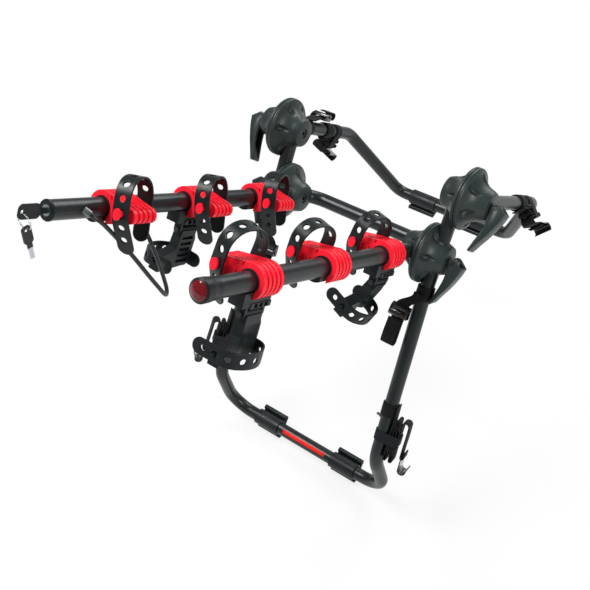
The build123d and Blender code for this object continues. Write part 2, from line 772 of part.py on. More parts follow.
def reflector():
    seat = -arm_length - 2 * fit - reflector_seat / 2
    edge = seat - reflector_seat
    dome_r = (reflector_r ** 2 + reflector_dome ** 2) / (2 * reflector_dome)
    outline = [
        Line((0, seat), (reflector_r, seat)),
        Line((reflector_r, seat), (reflector_r, edge)),
        RadiusArc((reflector_r, edge), (0, edge - reflector_dome), dome_r),
        Line((0, edge - reflector_dome), (0, seat)),
    ]
    return revolve(make_face(Wire(outline)), Axis.Y)


def end_cap_left():
    """Collar in the left arm's tip that houses the lock."""
    tip_y = -arm_length
    collar = extrude(section_at(tip_y) * (Circle(arm_r + cap_neck_over_r) - Circle(lock_r + fit)), lock_proud)
    plug_face = Circle(arm_r - arm_wall - fit) - Circle(lock_r + fit)
    return collar + extrude(section_at(tip_y + lock_cap_length) * plug_face, lock_cap_length)


def lock_cylinder():
    tip_y = -arm_length
    shape = extrude(section_at(tip_y + lock_length) * Circle(lock_r), lock_length + lock_proud + chamfer_size)
    slot = Pos(0, tip_y - lock_proud - chamfer_size, 0) * Box(
        key_t + 2 * fit, 2 * (key_blade_l + soft_gap), key_blade_w + 2 * fit)
    return shape - slot


def key_profile(bow_l, bow_w):
    """A flat key in its own plane: Y from the shoulder out along the bow."""
    shape = Pos(0, -key_blade_l / 2) * Rectangle(key_blade_w, key_blade_l)
    shape += Pos(0, key_neck_l / 2) * Rectangle(key_neck_w, key_neck_l + fit)
    bow = Pos(0, key_neck_l + bow_l / 2) * RectangleRounded(bow_w, bow_l, bow_w / 3)
    bow -= Pos(0, key_neck_l + bow_l - 2 * key_hole_r) * Circle(key_hole_r)
    return shape + bow


def key():
    flat = extrude(key_profile(key_bow_l, key_bow_w), key_t / 2, both=True)
    shoulder = -arm_length - lock_proud - chamfer_size - soft_gap
    return Pos(0, shoulder, 0) * Rot(0, 90, 0) * Rot(0, 0, 180) * flat


def key_ring_centre():
    """The ring hangs in the bow's hole, its wire resting on the hole's lower wall."""
    out = key_neck_l + key_bow_l - 2 * key_hole_r
    shoulder = -arm_length - lock_proud - chamfer_size - soft_gap
    hole = in_arm(0, shoulder - out, 0)
    return hole - Vector(0, 0, ring_r + key_hole_r - ring_wire_r - fit)


def key_ring():
    """Wire ring through the bow's hole."""
    return Plane(origin=key_ring_centre(), x_dir=(1, 0, 0), z_dir=(0, 1, 0)) * Torus(ring_r, ring_wire_r)


def spare_key():
    """Spare key hanging from the ring, blade down."""
    low = key_ring_centre() - Vector(0, 0, ring_r)
    hole_out = key_neck_l + spare_bow_l - 2 * key_hole_r
    hole = low - Vector(0, 0, key_hole_r - ring_wire_r - soft_gap)
    hang = Plane(origin=hole, x_dir=(0, 1, 0), z_dir=(1, 0, 0))
    return hang * (Pos(0, -hole_out) * extrude(key_profile(spare_bow_l, spare_bow_w), key_t / 2, both=True))


# Lock cable: leaves the left arm by a ferrule, hangs in a loop and goes back in by a gland
ferrule_way_shares = (0.77, 0.5, -0.4)
ferrule_spot = (ferrule_in, ferrule_tip_gap - arm_length, -ferrule_low)
gland_way_shares = (0.7071, 0.0, -0.7071)
gland_spot = (gland_out * gland_way_shares[0], gland_tip_gap - arm_length, gland_out * gland_way_shares[2])
ferrule_run = 9.0
gland_run = 12.0
cable_hang = [
    (-102.0, -347.8, 709.2), (-101.0, -335.1, 685.1), (-102.0, -320.8, 658.8), (-93.0, -306.1, 622.7),
    (-86.0, -291.6, 585.6), (-81.0, -279.2, 556.8), (-81.5, -271.5, 541.0), (-84.5, -264.0, 532.5),
    (-91.0, -256.5, 537.0), (-94.0, -256.5, 552.0), (-95.5, -259.5, 576.0), (-96.0, -265.8, 608.5),
    (-98.5, -270.5, 634.0),
]
ferrule_next = Vector(*ferrule_spot) + Vector(*ferrule_way_shares) * ferrule_run
gland_next = Vector(*gland_spot) + Vector(*gland_way_shares) * gland_run
cable_out = [tuple(in_arm(*ferrule_spot)), tuple(in_arm(*ferrule_next))]
cable_back = [tuple(in_arm(*gland_next)), tuple(in_arm(*gland_spot))]
cable_route = cable_out + cable_hang + cable_back


def cord_radii(points):
    """Each arc takes the same share of its shorter run."""
    vectors = [Vector(*p) for p in points]
    radii = []
    for before, here, after in zip(vectors, vectors[1:], vectors[2:]):
        run_in = here - before
        run_out = after - here
        turn = radians(run_in.get_angle(run_out))
        radii.append(arc_share * min(run_in.length, run_out.length) / tan(turn / 2))
    return radii


def cable():
    radii = cord_radii(cable_route)
    print("cable radii", [round(r, 1) for r in radii])
    path = FilletPolyline(*cable_route, radius=radii)
    start = Plane(origin=path @ 0, z_dir=path % 0)
    shape = sweep(start * Circle(cable_d / 2), path=path)
    print("cable length", round(path.length, 1), "volume share",
          round(shape.volume / (pi * (cable_d / 2) ** 2 * path.length), 4))
    return shape


# Webbing: straps with their ties, cam buckles and hooks
def side_frame(point, way, out):
    """A frame on a tube's axis: X along the webbing's run, Y away from the tube."""
    return Plane(origin=point, x_dir=way, z_dir=way.cross(out))


def collar(frame):
    """A loop of webbing sewn round a tube, ahead of the frame's origin."""
    ring = Circle(frame_r + soft_gap + web_t) - Circle(frame_r + soft_gap)
    return extrude(Plane(origin=frame.origin - frame.x_dir * web_w, z_dir=frame.x_dir) * ring, web_w)


def run_frame(frame):
    """The frame moved out to the middle of the first layer of webbing."""
    out = frame.z_dir.cross(frame.x_dir)
    middle = frame_r + soft_gap + web_t * 3 / 4
    return Plane(origin=frame.origin + out * middle, x_dir=frame.x_dir, z_dir=frame.z_dir)


def hank(frame, length, tail):
    """Webbing folded to and fro beside its tube, tied, with a tail over the top that ends round a hook."""
    points = [(-web_w, 0)]
    radii = []
    out = 0
    for i in range(hank_layers):
        end = length if i % 2 == 0 else 0
        step = web_pitch if i < hank_layers - 1 else tail_out
        points += [(end, out), (end, out + step)]
        radii += [step / 2 * (1 - fit)] * 2
        out += step
    points += [(tail, out), (tail, out + hook_loop), (tail - web_w / 2, out + hook_loop)]
    radii += [hook_loop / 2 * (1 - fit)] * 2
    plane = run_frame(frame)
    webbing = band(plane, points, radii, web_w, web_t, (), web_t, False, False)
    shape = webbing + collar(frame)
    layers_out = web_pitch * (hank_layers - 1)
    reach = frame_r + soft_gap + web_t * 5 / 4 + layers_out + soft_gap
    out_way = frame.z_dir.cross(frame.x_dir)
    bed = Plane(origin=frame.origin + frame.x_dir * (length - tie_w) / 2, x_dir=out_way, z_dir=frame.x_dir)
    inner = make_hull(Circle(frame_r + soft_gap).edges() + (
        Pos(reach / 2, 0) * Rectangle(reach, web_w + 2 * soft_gap)).edges())
    outer = make_hull(Circle(frame_r + soft_gap + tie_t).edges() + (
        Pos(reach / 2, 0) * Rectangle(reach + 2 * tie_t, web_w + 2 * (soft_gap + tie_t))).edges())
    tie = extrude(bed * (outer - inner), tie_w)
    return [shape, tie], [hook(plane, tail, out + hook_loop / 2)]


def hook(plane, tail, out):
    """Bent flat hook with a slotted head that hangs in the webbing's end loop."""
    start = tail - web_t / 2 - soft_gap - hook_bar
    low = tail + hook_drop
    points = [(start, out), (low, out), (low, out + hook_reach), (low - hook_lip, out + hook_reach)]
    radii = [hook_reach / 2 * (1 - fit)] * 2
    shape = band(plane, points, radii, hook_w, hook_t, (), hook_t, False, False)
    slot_low = start + hook_bar
    slot_high = tail + web_t / 2 + soft_gap
    slot = Box(slot_high - slot_low, 2 * hook_t, web_w + 2 * soft_gap)
    return shape - plane.location * Pos((slot_low + slot_high) / 2, out, 0) * slot


def buckle_strap(frame, tail):
    """Webbing looped round a tube, out through a cam buckle and folded back."""
    run = web_w / 8
    points = [(-web_w / 2, 0), (run, 0), (run + buckle_out * 4 / 3, buckle_out), (tail, buckle_out),
              (tail, buckle_out + web_fold), (run + buckle_out * 2 + buckle_h, buckle_out + web_fold)]
    radii = [buckle_out / 2, buckle_out / 2, web_fold / 2 * (1 - fit), web_fold / 2 * (1 - fit)]
    plane = run_frame(frame)
    shape = band(plane, points, radii, web_w, web_t, (), web_t, False, False) + collar(frame)
    low = run + buckle_out * 4 / 3 + buckle_t / 3
    return shape, plane.location * Pos(low + buckle_h / 2, buckle_out, 0) * cam_buckle()


def cam_buckle():
    """Cam buckle round a run of webbing: body with a slot, a window and a rolled lower edge."""
    body = Box(buckle_h, buckle_t, buckle_w)
    body = chamfer(body.edges().filter_by(Axis.Z), chamfer_size)
    roll = Pos(buckle_h / 2, buckle_t / 4) * Cylinder(buckle_t / 4, buckle_w)
    body += roll
    body -= Box(buckle_h + overrun, web_t + 2 * soft_gap, web_w + 2 * soft_gap)
    body -= Pos(-buckle_h / 8, buckle_t / 2, 0) * Box(buckle_h / 3, buckle_t, web_w)
    return body


def leg_line(distance):
    """The left leg's axis at a distance below its splay, and its direction downward."""
    start = shifted(lower_axis - up_link * splay_start, -leg_x)
    way = (shifted(knee_point, -knee_x) - start).normalized()
    return start + way * (distance - splay_start), way


def turned_out(way, turn_deg):
    """A direction square to a left-hand tube: 0 away from the middle, 90 away from the car."""
    front = Vector(-1, 0, 0).cross(way).normalized()
    side = way.cross(front).normalized()
    side = side * (-1 if side.X > 0 else 1)
    front = front * (-1 if front.Y > 0 else 1)
    return side * cos(radians(turn_deg)) + front * sin(radians(turn_deg))


def leg_screw(radius, start, end):
    """A round length of the screw in the leg's inner wall, between two distances from the leg's axis."""
    point, way = leg_line(leg_screw_at)
    inward = turned_out(way, 0) * -1
    return rod(point + inward * start, point + inward * end, radius)


def webbing():
    straps = []
    hooks = []
    side_straps = []
    buckles = []
    screws = []
    upper = []
    upper_ends = []
    screw = leg_screw(screw_r, frame_r - frame_wall * 3 / 2, frame_r + screw_proud)
    screw += leg_screw(screw_head_r, frame_r + fit, frame_r + screw_head_t)
    for side, twin in (("left", as_is), ("right", right_of)):
        point, way = leg_line(lower_hank_at[side])
        frame = side_frame(point, way, turned_out(way, lower_hank_turns_deg[side]))
        soft, hard = hank(frame, lower_hank_length, lower_hank_tail)
        straps += [twin(x) for x in soft]
        hooks += [twin(x) for x in hard]
        way = up_link * -1
        point = shifted(lower_axis + way * (rim_r + web_w + 2 * soft_gap), -leg_x)
        frame = side_frame(point, way, turned_out(way, side_strap_turn_deg))
        soft, hard = buckle_strap(frame, side_strap_tail)
        side_straps.append(twin(soft))
        buckles.append(twin(hard))
        screws.append(twin(screw))
        point = shifted(upper_axis + upper_way * upper_hank_at[side], -upper_x)
        frame = side_frame(point, upper_way, turned_out(upper_way, upper_hank_turns_deg[side]))
        soft, hard = hank(frame, upper_hank_length, upper_hank_tail)
        upper += [twin(x) for x in soft]
        upper_ends += [twin(x) for x in hard]
    point = shifted(upper_axis + upper_way * upper_buckle_at, -upper_x)
    frame = side_frame(point, upper_way, Vector(0, -upper_way.Z, upper_way.Y))
    soft, hard = buckle_strap(frame, upper_buckle_tail)
    keep("side_straps", Compound(children=side_straps))
    keep("side_buckles", Compound(children=buckles))
    keep("lower_straps", Compound(children=straps))
    keep("lower_hooks", Compound(children=hooks))
    keep("leg_screws", Compound(children=screws))
    keep("upper_straps", Compound(children=upper + [soft]))
    keep("upper_hooks", Compound(children=upper_ends))
    keep("upper_buckle", hard)


def build():
    screw_hole = leg_screw(screw_r + fit, frame_r - 2 * frame_wall, frame_d)
    keep("main_frame_tube", main_frame_tube() - screw_hole - right_of(screw_hole))
    keep("upper_frame_tube", upper_frame_tube())
    keep("cross_tube", cross_tube())
    halves = {
        "lower_hub_inner": hub_frames["lower_inner"].location * hub_half((), frame_r, "bolt") - cross_bore(),
        "lower_hub_outer": hub_frames["lower_outer"].location * hub_half((0, 180), frame_r, "lever"),
        "upper_hub_inner": hub_frames["upper_inner"].location * hub_half((0,), frame_r, "bolt"),
        "upper_hub_outer": hub_frames["upper_outer"].location * hub_half((0,), frame_r, "lever"),
    }
    for name, shape in halves.items():
        keep(name + "_left", shape)
        keep(name + "_right", right_of(shape))
    bolts = []
    pins = []
    for name, turn in lever_turns_deg.items():
        level, side = name.split("_")
        place = lever_frame(level, turn).location
        twin = right_of if side == "right" else as_is
        bolts.append(twin(place * axle_bolt()))
        pins.append(twin(place * lever_pin()))
        keep(level + "_lever_" + side, twin(place * lever()))
    keep("axle_bolts", Compound(children=bolts))
    keep("lever_pins", Compound(children=pins))
    foot = pad(bar_point, -foot_pad_x, foot_normal, foot_pad_length, foot_pad_width)
    keep("foot_pads", Compound(children=[foot, right_of(foot)]))
    trunk = pad(upper_bar, -trunk_pad_x, trunk_normal, trunk_pad_length, trunk_pad_width)
    keep("trunk_pads", Compound(children=[trunk, right_of(trunk)]))
    arm = arm_frame.location * arm_tube()
    keep("arm_tube_right", right_of(arm))
    ferrule_hole = fitting_axis(ferrule_spot, ferrule_way_shares, ferrule_r + fit, ferrule_length, 0)
    gland_hole = fitting_axis(gland_spot, gland_way_shares, gland_r + fit, gland_length, 0)
    keep("arm_tube_left", arm - ferrule_hole - gland_hole)
    ferrule = fitting_axis(ferrule_spot, ferrule_way_shares, ferrule_r, ferrule_length - fit, -fit / 2)
    gland = fitting_axis(gland_spot, gland_way_shares, gland_r, gland_length - fit, -fit / 2)
    keep("cable_fittings", Compound(children=[ferrule, gland]))
    keep("end_cap_right", right_of(arm_frame.location * end_cap_right()))
    keep("reflector", right_of(arm_frame.location * reflector()))
    keep("end_cap_left", arm_frame.location * end_cap_left())
    keep("lock_cylinder", arm_frame.location * lock_cylinder())
    keep("key", arm_frame.location * key())
    keep("key_ring", key_ring())
    keep("spare_key", spare_key())
    keep("lock_cable", cable())
    one_cradle = cradle()
    one_sleeve = cradle_sleeve()
    one_clip = tube_clip()
    one_mount = holder_mount()
    one_screw = pivot_screw()
    one_holder = holder()
    one_holder_strap = holder_strap()
    sleeves = []
    clips = []
    mounts = []
    screws = []
    for side in ("left", "right"):
        for index, place in enumerate(cradle_places):
            spot = at_cradle(index)
            twin = right_of if side == "right" else as_is
            name = side + "_" + place
            keep("cradle_" + name, twin(spot * one_cradle))
            keep("cradle_strap_" + name, twin(spot * cradle_strap(strap_heights[name], strap_leans[name])))
            sleeves.append(twin(spot * one_sleeve))
            if name in swing_shares:
                share = swing_shares[name]
                mounts.append(twin(spot * one_mount))
                screws.append(twin(spot * one_screw))
                keep("holder_" + name, twin(spot * swung(one_holder, share)))
                keep("holder_strap_" + name, twin(spot * swung(one_holder_strap, share)))
            else:
                clips.append(twin(spot * one_clip))
    keep("cradle_sleeves", Compound(children=sleeves))
    keep("tube_clips", Compound(children=clips))
    keep("holder_mounts", Compound(children=mounts))
    keep("pivot_screws", Compound(children=screws))
    webbing()


build()
for name, shape in solids.items():
    export_step(shape, "parts/" + name + ".step")
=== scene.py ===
import bmesh
import bpy
import json
from math import acos, atan2, ceil, cos, hypot, pi, radians, sin, tan
from mathutils import Vector, Matrix

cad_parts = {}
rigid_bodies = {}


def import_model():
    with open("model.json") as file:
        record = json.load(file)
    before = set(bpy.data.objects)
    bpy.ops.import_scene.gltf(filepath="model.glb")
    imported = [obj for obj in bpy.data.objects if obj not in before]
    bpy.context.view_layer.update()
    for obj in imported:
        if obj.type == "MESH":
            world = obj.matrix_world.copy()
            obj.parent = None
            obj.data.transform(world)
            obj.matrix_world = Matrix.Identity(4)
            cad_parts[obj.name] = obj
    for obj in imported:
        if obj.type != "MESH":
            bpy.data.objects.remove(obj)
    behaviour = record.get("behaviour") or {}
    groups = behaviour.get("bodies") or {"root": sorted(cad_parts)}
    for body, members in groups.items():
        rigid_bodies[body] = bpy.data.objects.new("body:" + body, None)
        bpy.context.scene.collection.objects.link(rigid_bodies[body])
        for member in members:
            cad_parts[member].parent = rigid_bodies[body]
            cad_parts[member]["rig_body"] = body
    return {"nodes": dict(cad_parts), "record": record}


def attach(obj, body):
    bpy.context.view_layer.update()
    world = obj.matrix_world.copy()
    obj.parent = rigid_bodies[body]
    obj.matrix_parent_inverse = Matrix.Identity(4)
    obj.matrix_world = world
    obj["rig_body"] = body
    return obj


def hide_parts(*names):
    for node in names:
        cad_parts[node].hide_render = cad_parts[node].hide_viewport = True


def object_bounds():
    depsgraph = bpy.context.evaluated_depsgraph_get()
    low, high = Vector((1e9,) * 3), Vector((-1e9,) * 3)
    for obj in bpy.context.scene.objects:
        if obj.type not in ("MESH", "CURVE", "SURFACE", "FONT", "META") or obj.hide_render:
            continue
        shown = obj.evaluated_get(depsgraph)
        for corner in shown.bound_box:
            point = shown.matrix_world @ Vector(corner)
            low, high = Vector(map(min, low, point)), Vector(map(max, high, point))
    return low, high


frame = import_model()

CAD_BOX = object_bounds()
NODES = frame["nodes"]
SLOT_OF = {entry["node"]: entry["material_slot"] for entry in frame["record"]["subparts"]}
SIDES = ("left", "right")
MM = 0.001

# Sizes and places that the solids have too, in millimetres and radians
FRAME_R = 12.7
ARM_X = 133.0
LEAN = radians(26.3)
UPPER_DROP = radians(29.0)
LOWER_AXIS = Vector((0.0, 119.6763, 489.8687))
UPPER_AXIS = Vector((0.0, 168.6357, 588.9304))
KNEE = Vector((0.0, -54.8924, 136.6544))
LEG_X = 171.0
KNEE_X = 186.0
SPLAY_START = 80.0
UPPER_X = 209.0
UP_LINK = Vector((0.0, sin(LEAN), cos(LEAN)))
ALONG_ARM = Vector((0.0, -cos(LEAN), sin(LEAN)))
UPPER_WAY = Vector((0.0, cos(UPPER_DROP), -sin(UPPER_DROP)))
SOFT_GAP = 0.3
WEB_W = 25.0
WEB_T = 2.4
WEB_PITCH = 5.4
WEB_FOLD = 13.0
HANK_LAYERS = 4
TIE_W = 20.0
TIE_T = 1.6
TAIL_OUT = 13.0
HOOK_LOOP = 5.6
BUCKLE_OUT = 9.0
BUCKLE_H = 22.0
RIM_R = 53.5

# Camera at the photograph's viewing angle
AZIMUTH = radians(37.478)
ELEVATION = radians(40.643)
CAMERA_SPOT = Vector((0.70669, -0.97361, 1.42929))
FOCAL_PX = 900.0
FRAME_PX = 590.0
SENSOR_MM = 36.0
NEAREST = 0.01


def new_object(name, data):
    made = bpy.data.objects.new(name, data)
    bpy.context.scene.collection.objects.link(made)
    return made


def add_camera():
    back = Vector((sin(AZIMUTH) * cos(ELEVATION), -cos(AZIMUTH) * cos(ELEVATION), sin(ELEVATION)))
    right = Vector((cos(AZIMUTH), sin(AZIMUTH), 0.0))
    data = bpy.data.cameras.new("camera")
    data.sensor_width = SENSOR_MM
    data.lens = SENSOR_MM * FOCAL_PX / FRAME_PX
    data.clip_start = NEAREST
    camera = new_object("camera", data)
    turn = Matrix((right, back.cross(right), back)).transposed().to_4x4()
    camera.matrix_world = Matrix.Translation(CAMERA_SPOT) @ turn
    bpy.context.scene.camera = camera


# Helpers for the nodes of materials
def empty_tree(owner, output="ShaderNodeOutputMaterial"):
    """The emptied node tree of a material or a world, and the surface input of its new output."""
    owner.use_nodes = True
    tree = owner.node_tree
    tree.nodes.clear()
    return tree, tree.nodes.new(output).inputs["Surface"]


def fill(tree, node, values):
    """Sets each input, named or numbered, to a value or joins it to another node's output."""
    for name, value in values.items():
        if isinstance(value, bpy.types.NodeSocket):
            tree.links.new(value, node.inputs[name])
        else:
            node.inputs[name].default_value = value


def new_material(name):
    material = bpy.data.materials.new(name)
    tree, surface = empty_tree(material)
    shader = tree.nodes.new("ShaderNodeBsdfPrincipled")
    tree.links.new(shader.outputs["BSDF"], surface)
    return material, tree, shader


def object_place(tree):
    """Each point's place in its own object, in metres."""
    return tree.nodes.new("ShaderNodeTexCoord").outputs["Object"]


def noise(tree, vector, scale, detail=3.0, roughness=0.55):
    node = tree.nodes.new("ShaderNodeTexNoise")
    fill(tree, node, {"Vector": vector, "Scale": scale, "Detail": detail, "Roughness": roughness})
    return node.outputs["Fac"]


def remap(tree, value, low, high, from_low=0.3, from_high=0.7):
    node = tree.nodes.new("ShaderNodeMapRange")
    fill(tree, node, {"Value": value, "From Min": from_low, "From Max": from_high,
                      "To Min": low, "To Max": high})
    return node.outputs["Result"]


def mix_colours(tree, factor, low, high):
    """A blend of two colours, each a tuple or a socket."""
    node = tree.nodes.new("ShaderNodeMix")
    node.data_type = "RGBA"
    ends = [(*colour, 1.0) if isinstance(colour, tuple) else colour for colour in (low, high)]
    fill(tree, node, {"Factor": factor, "A": ends[0], "B": ends[1]})
    return node.outputs["Result"]


def maths(tree, operation, a, b):
    node = tree.nodes.new("ShaderNodeMath")
    node.operation = operation
    fill(tree, node, {0: a, 1: b})
    return node.outputs["Value"]


def bump(tree, height, strength, distance):
    node = tree.nodes.new("ShaderNodeBump")
    fill(tree, node, {"Height": height, "Strength": strength, "Distance": distance})
    return node.outputs["Normal"]


# Plastic, rubber, paint and metal
PATCH_SCALE = 18.0
GLOSS_SCALE_SHARE = 3
GRAIN_STRENGTH = 0.1


def moulded(name, low, high, roughness, grain, grain_depth, patch=PATCH_SCALE, coat=0.0,
            coat_roughness=0.3, metallic=0.0, specular=0.5):
    """Colour and gloss vary in patches, each between two values, over a grain with its depth in metres."""
    material, tree, shader = new_material(name)
    place = object_place(tree)
    broad = noise(tree, place, patch, detail=4.0)
    worn = noise(tree, place, patch * GLOSS_SCALE_SHARE, detail=2.0, roughness=0.5)
    fill(tree, shader, {
        "Base Color": mix_colours(tree, remap(tree, broad, 0.0, 1.0), low, high),
        "Roughness": remap(tree, worn, *roughness),
        "Normal": bump(tree, noise(tree, place, grain, detail=2.0), GRAIN_STRENGTH, grain_depth),
        "Metallic": metallic,
        "Coat Weight": coat,
        "Coat Roughness": coat_roughness,
        "Specular IOR Level": specular,
    })
    return material


# Woven nylon, its pitches and depth in metres
WEAVE_UV = "weave"
PICK_PITCH = 0.0013
RIB_PITCH = 0.0021
WEAVE_DEPTH = 0.0004
WEAVE_STRENGTH = 0.6
WEAVE_FUZZ_SCALE = 420.0
LOOP_FUZZ_SCALE = 900.0
WORN_SCALE = 60.0


def wave(tree, distance, pitch):
    return maths(tree, "SINE", maths(tree, "MULTIPLY", distance, 2 * pi / pitch), 0.0)


def webbing_material(name, low, high, hook_loop=False):
    """Picks along the run and ribs across it, from the piece's own UV in metres. The colour is painted darker
    in the weave's grooves, as painted shade, over a random fuzz of tone.
    """
    material, tree, shader = new_material(name)
    uv = tree.nodes.new("ShaderNodeUVMap")
    uv.uv_map = WEAVE_UV
    split = tree.nodes.new("ShaderNodeSeparateXYZ")
    tree.links.new(uv.outputs["UV"], split.inputs["Vector"])
    picks = wave(tree, split.outputs["X"], PICK_PITCH)
    ribs = wave(tree, split.outputs["Y"], RIB_PITCH)
    crossed = maths(tree, "MULTIPLY", picks, ribs)
    height = maths(tree, "ADD", maths(tree, "MULTIPLY", crossed, 0.5), maths(tree, "MULTIPLY", ribs, 0.5))
    place = object_place(tree)
    fuzz = noise(tree, place, LOOP_FUZZ_SCALE if hook_loop else WEAVE_FUZZ_SCALE, detail=4.0, roughness=0.7)
    # colour: painted shade in the weave's low grooves, plus a random fuzz of tone
    shade = maths(tree, "ADD", maths(tree, "MULTIPLY", height, 0.25), fuzz)
    fill(tree, shader, {
        "Base Color": mix_colours(tree, remap(tree, shade, 0.0, 1.0, 0.25, 0.85), low, high),
        "Roughness": remap(tree, noise(tree, place, WORN_SCALE), 0.6, 0.82),
        "Normal": bump(tree, fuzz if hook_loop else height, WEAVE_STRENGTH, WEAVE_DEPTH),
        "Sheen Weight": 0.02,
        "Specular IOR Level": 0.22,
    })
    return material


# Single looks: the reflector, the lock's face and the hanging key
PRISM_SCALE = 420.0
PRISM_DEPTH = 0.0004
LENS_WORN_SCALE = 200.0
# The lens red in two tones: painted light at each prism's middle, painted shade at its edges
LENS_LIT_AND_SHADED_REDS = ((0.3, 0.006, 0.01), (0.07, 0.0, 0.004))
PLATE_GRAIN_SCALE = 700.0
PLATE_GRAIN_DEPTH = 0.0001
PLATE_GREYS = ((0.33, 0.42, 0.45), (0.62, 0.7, 0.72))
KEY_BLACKS = ((0.006, 0.008, 0.009), (0.011, 0.013, 0.014))
BLADE_COLOUR = (0.55, 0.57, 0.62)
BLADE_SHARE = 0.34


def reflector_material():
    """Deep red lens over small prisms, each painted lighter red in its middle and darker red at its edges, as
    painted light and shade of the facets.
    """
    material, tree, shader = new_material("reflector_lens")
    place = object_place(tree)
    cells = tree.nodes.new("ShaderNodeTexVoronoi")
    fill(tree, cells, {"Vector": place, "Scale": PRISM_SCALE, "Randomness": 0.15})
    height = cells.outputs["Distance"]
    fill(tree, shader, {
        "Base Color": mix_colours(tree, remap(tree, height, 0.0, 1.0, from_low=0.0), *LENS_LIT_AND_SHADED_REDS),
        "Roughness": remap(tree, noise(tree, place, LENS_WORN_SCALE), 0.08, 0.2),
        "Normal": bump(tree, height, 0.3, PRISM_DEPTH),
        "Specular IOR Level": 0.25,
        "Coat Weight": 0.35,
        "Coat Roughness": 0.06,
    })
    return material


def plate_material():
    """Turned metal face of the lock."""
    material, tree, shader = new_material("lock_plate")
    grain = noise(tree, object_place(tree), PLATE_GRAIN_SCALE, detail=6.0, roughness=0.7)
    fill(tree, shader, {
        "Base Color": mix_colours(tree, remap(tree, grain, 0.0, 1.0), *PLATE_GREYS),
        "Roughness": remap(tree, grain, 0.18, 0.36),
        "Normal": bump(tree, grain, 0.3, PLATE_GRAIN_DEPTH),
        "Metallic": 1.0,
    })
    return material


def hanging_key_material():
    """Glossy black cover over a bright steel blade, which is the lowest share of the hanging key."""
    material = moulded("covered_key", *KEY_BLACKS, (0.2, 0.34), 1500.0, 0.00006, specular=0.4)
    tree = material.node_tree
    shader = next(n for n in tree.nodes if n.type == "BSDF_PRINCIPLED")
    heights = [corner[2] for corner in NODES["spare_key"].bound_box]
    edge = min(heights) + BLADE_SHARE * (max(heights) - min(heights))
    split = tree.nodes.new("ShaderNodeSeparateXYZ")
    tree.links.new(object_place(tree), split.inputs["Vector"])
    blade = maths(tree, "LESS_THAN", split.outputs["Z"], edge)
    cover = shader.inputs["Base Color"].links[0].from_socket
    fill(tree, shader, {"Base Color": mix_colours(tree, blade, cover, BLADE_COLOUR), "Metallic": blade})
    return material


# The look of every material slot, and the looks of a few single nodes and pieces
MATERIALS = {
    "frame_paint": moulded("frame_powder_coat", (0.0055, 0.0085, 0.0095), (0.0095, 0.014, 0.0155),
                           (0.31, 0.36), 900.0, 0.00004, specular=0.42),
    "hub_plastic": moulded("hub_nylon", (0.016, 0.025, 0.024), (0.026, 0.037, 0.034),
                           (0.34, 0.46), 1800.0, 0.00018, patch=24.0, specular=0.3),
    "lever_plastic": moulded("lever_nylon", (0.013, 0.021, 0.021), (0.021, 0.031, 0.031),
                             (0.32, 0.44), 1800.0, 0.00015, patch=30.0, specular=0.3),
    "strap_rubber": moulded("strap_rubber", (0.005, 0.0078, 0.0088), (0.009, 0.0132, 0.0148),
                            (0.32, 0.44), 1200.0, 0.00012, patch=40.0, specular=0.26),
    "liner_rubber": moulded("liner_rubber", (0.006, 0.007, 0.008), (0.011, 0.012, 0.013),
                            (0.6, 0.75), 1500.0, 0.0002, specular=0.2),
    "cradle_plastic": moulded("cradle_nylon", (0.86, 0.006, 0.02), (0.96, 0.012, 0.036),
                              (0.38, 0.52), 1600.0, 0.00012, patch=30.0, specular=0.3),
    "pad_rubber": moulded("pad_rubber", (0.008, 0.011, 0.012), (0.014, 0.019, 0.021),
                          (0.34, 0.5), 900.0, 0.00015, patch=26.0, specular=0.26),
    "fastener_steel": moulded("fastener_zinc", (0.05, 0.055, 0.058), (0.11, 0.12, 0.12),
                              (0.3, 0.5), 1400.0, 0.0001, metallic=1.0),
    "lock_metal": moulded("plated_metal", (0.5, 0.53, 0.55), (0.74, 0.77, 0.78),
                          (0.16, 0.32), 1400.0, 0.00006, metallic=1.0),
    "key_plastic": moulded("key_cover", *KEY_BLACKS, (0.25, 0.4), 1500.0, 0.0001, specular=0.3),
    "hanging_key": hanging_key_material(),
    "fitting_metal": moulded("fitting_steel", (0.13, 0.14, 0.145), (0.27, 0.29, 0.3),
                             (0.28, 0.42), 1400.0, 0.00006, metallic=1.0),
    "cable_jacket": moulded("cable_jacket", (0.010, 0.014, 0.015), (0.017, 0.022, 0.024),
                            (0.24, 0.38), 600.0, 0.00008, specular=0.36),
    "buckle_metal": moulded("buckle_enamel", (0.005, 0.005, 0.0038), (0.010, 0.0098, 0.0075),
                            (0.12, 0.24), 900.0, 0.00003, coat=0.6, coat_roughness=0.06),
    "black_plastic": moulded("black_nylon", (0.006, 0.009, 0.0098), (0.011, 0.0155, 0.0165),
                             (0.32, 0.46), 1500.0, 0.00015, patch=26.0, specular=0.28),
    "webbing": webbing_material("nylon_webbing", (0.001, 0.001, 0.0014), (0.0055, 0.006, 0.0065)),
    "tie": webbing_material("hook_and_loop", (0.003, 0.004, 0.006), (0.011, 0.015, 0.018), True),
    "reflector_red": reflector_material(),
    "lock_plate": plate_material(),
    "stripe": moulded("red_decal", (0.78, 0.012, 0.008), (0.9, 0.02, 0.012),
                      (0.3, 0.42), 1400.0, 0.0001, specular=0.3),
}
NODE_LOOKS = {"lock_cylinder": "lock_plate", "cable_fittings": "fitting_metal", "spare_key": "hanging_key"}


def dress_nodes():
    """Every CAD node takes the procedural material of its slot."""
    for name, node in NODES.items():
        material = MATERIALS[NODE_LOOKS.get(name, SLOT_OF[name])]
        if not node.material_slots:
            node.data.materials.append(material)
        for place in node.material_slots:
            place.material = material


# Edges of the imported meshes, in metres
JOIN_GAP = 0.00001
NORMALS_WEIGHT = 80
CRADLE_EDGE = 0.0006
HOLDER_EDGE = 0.0008
PAD_EDGE = 0.0012


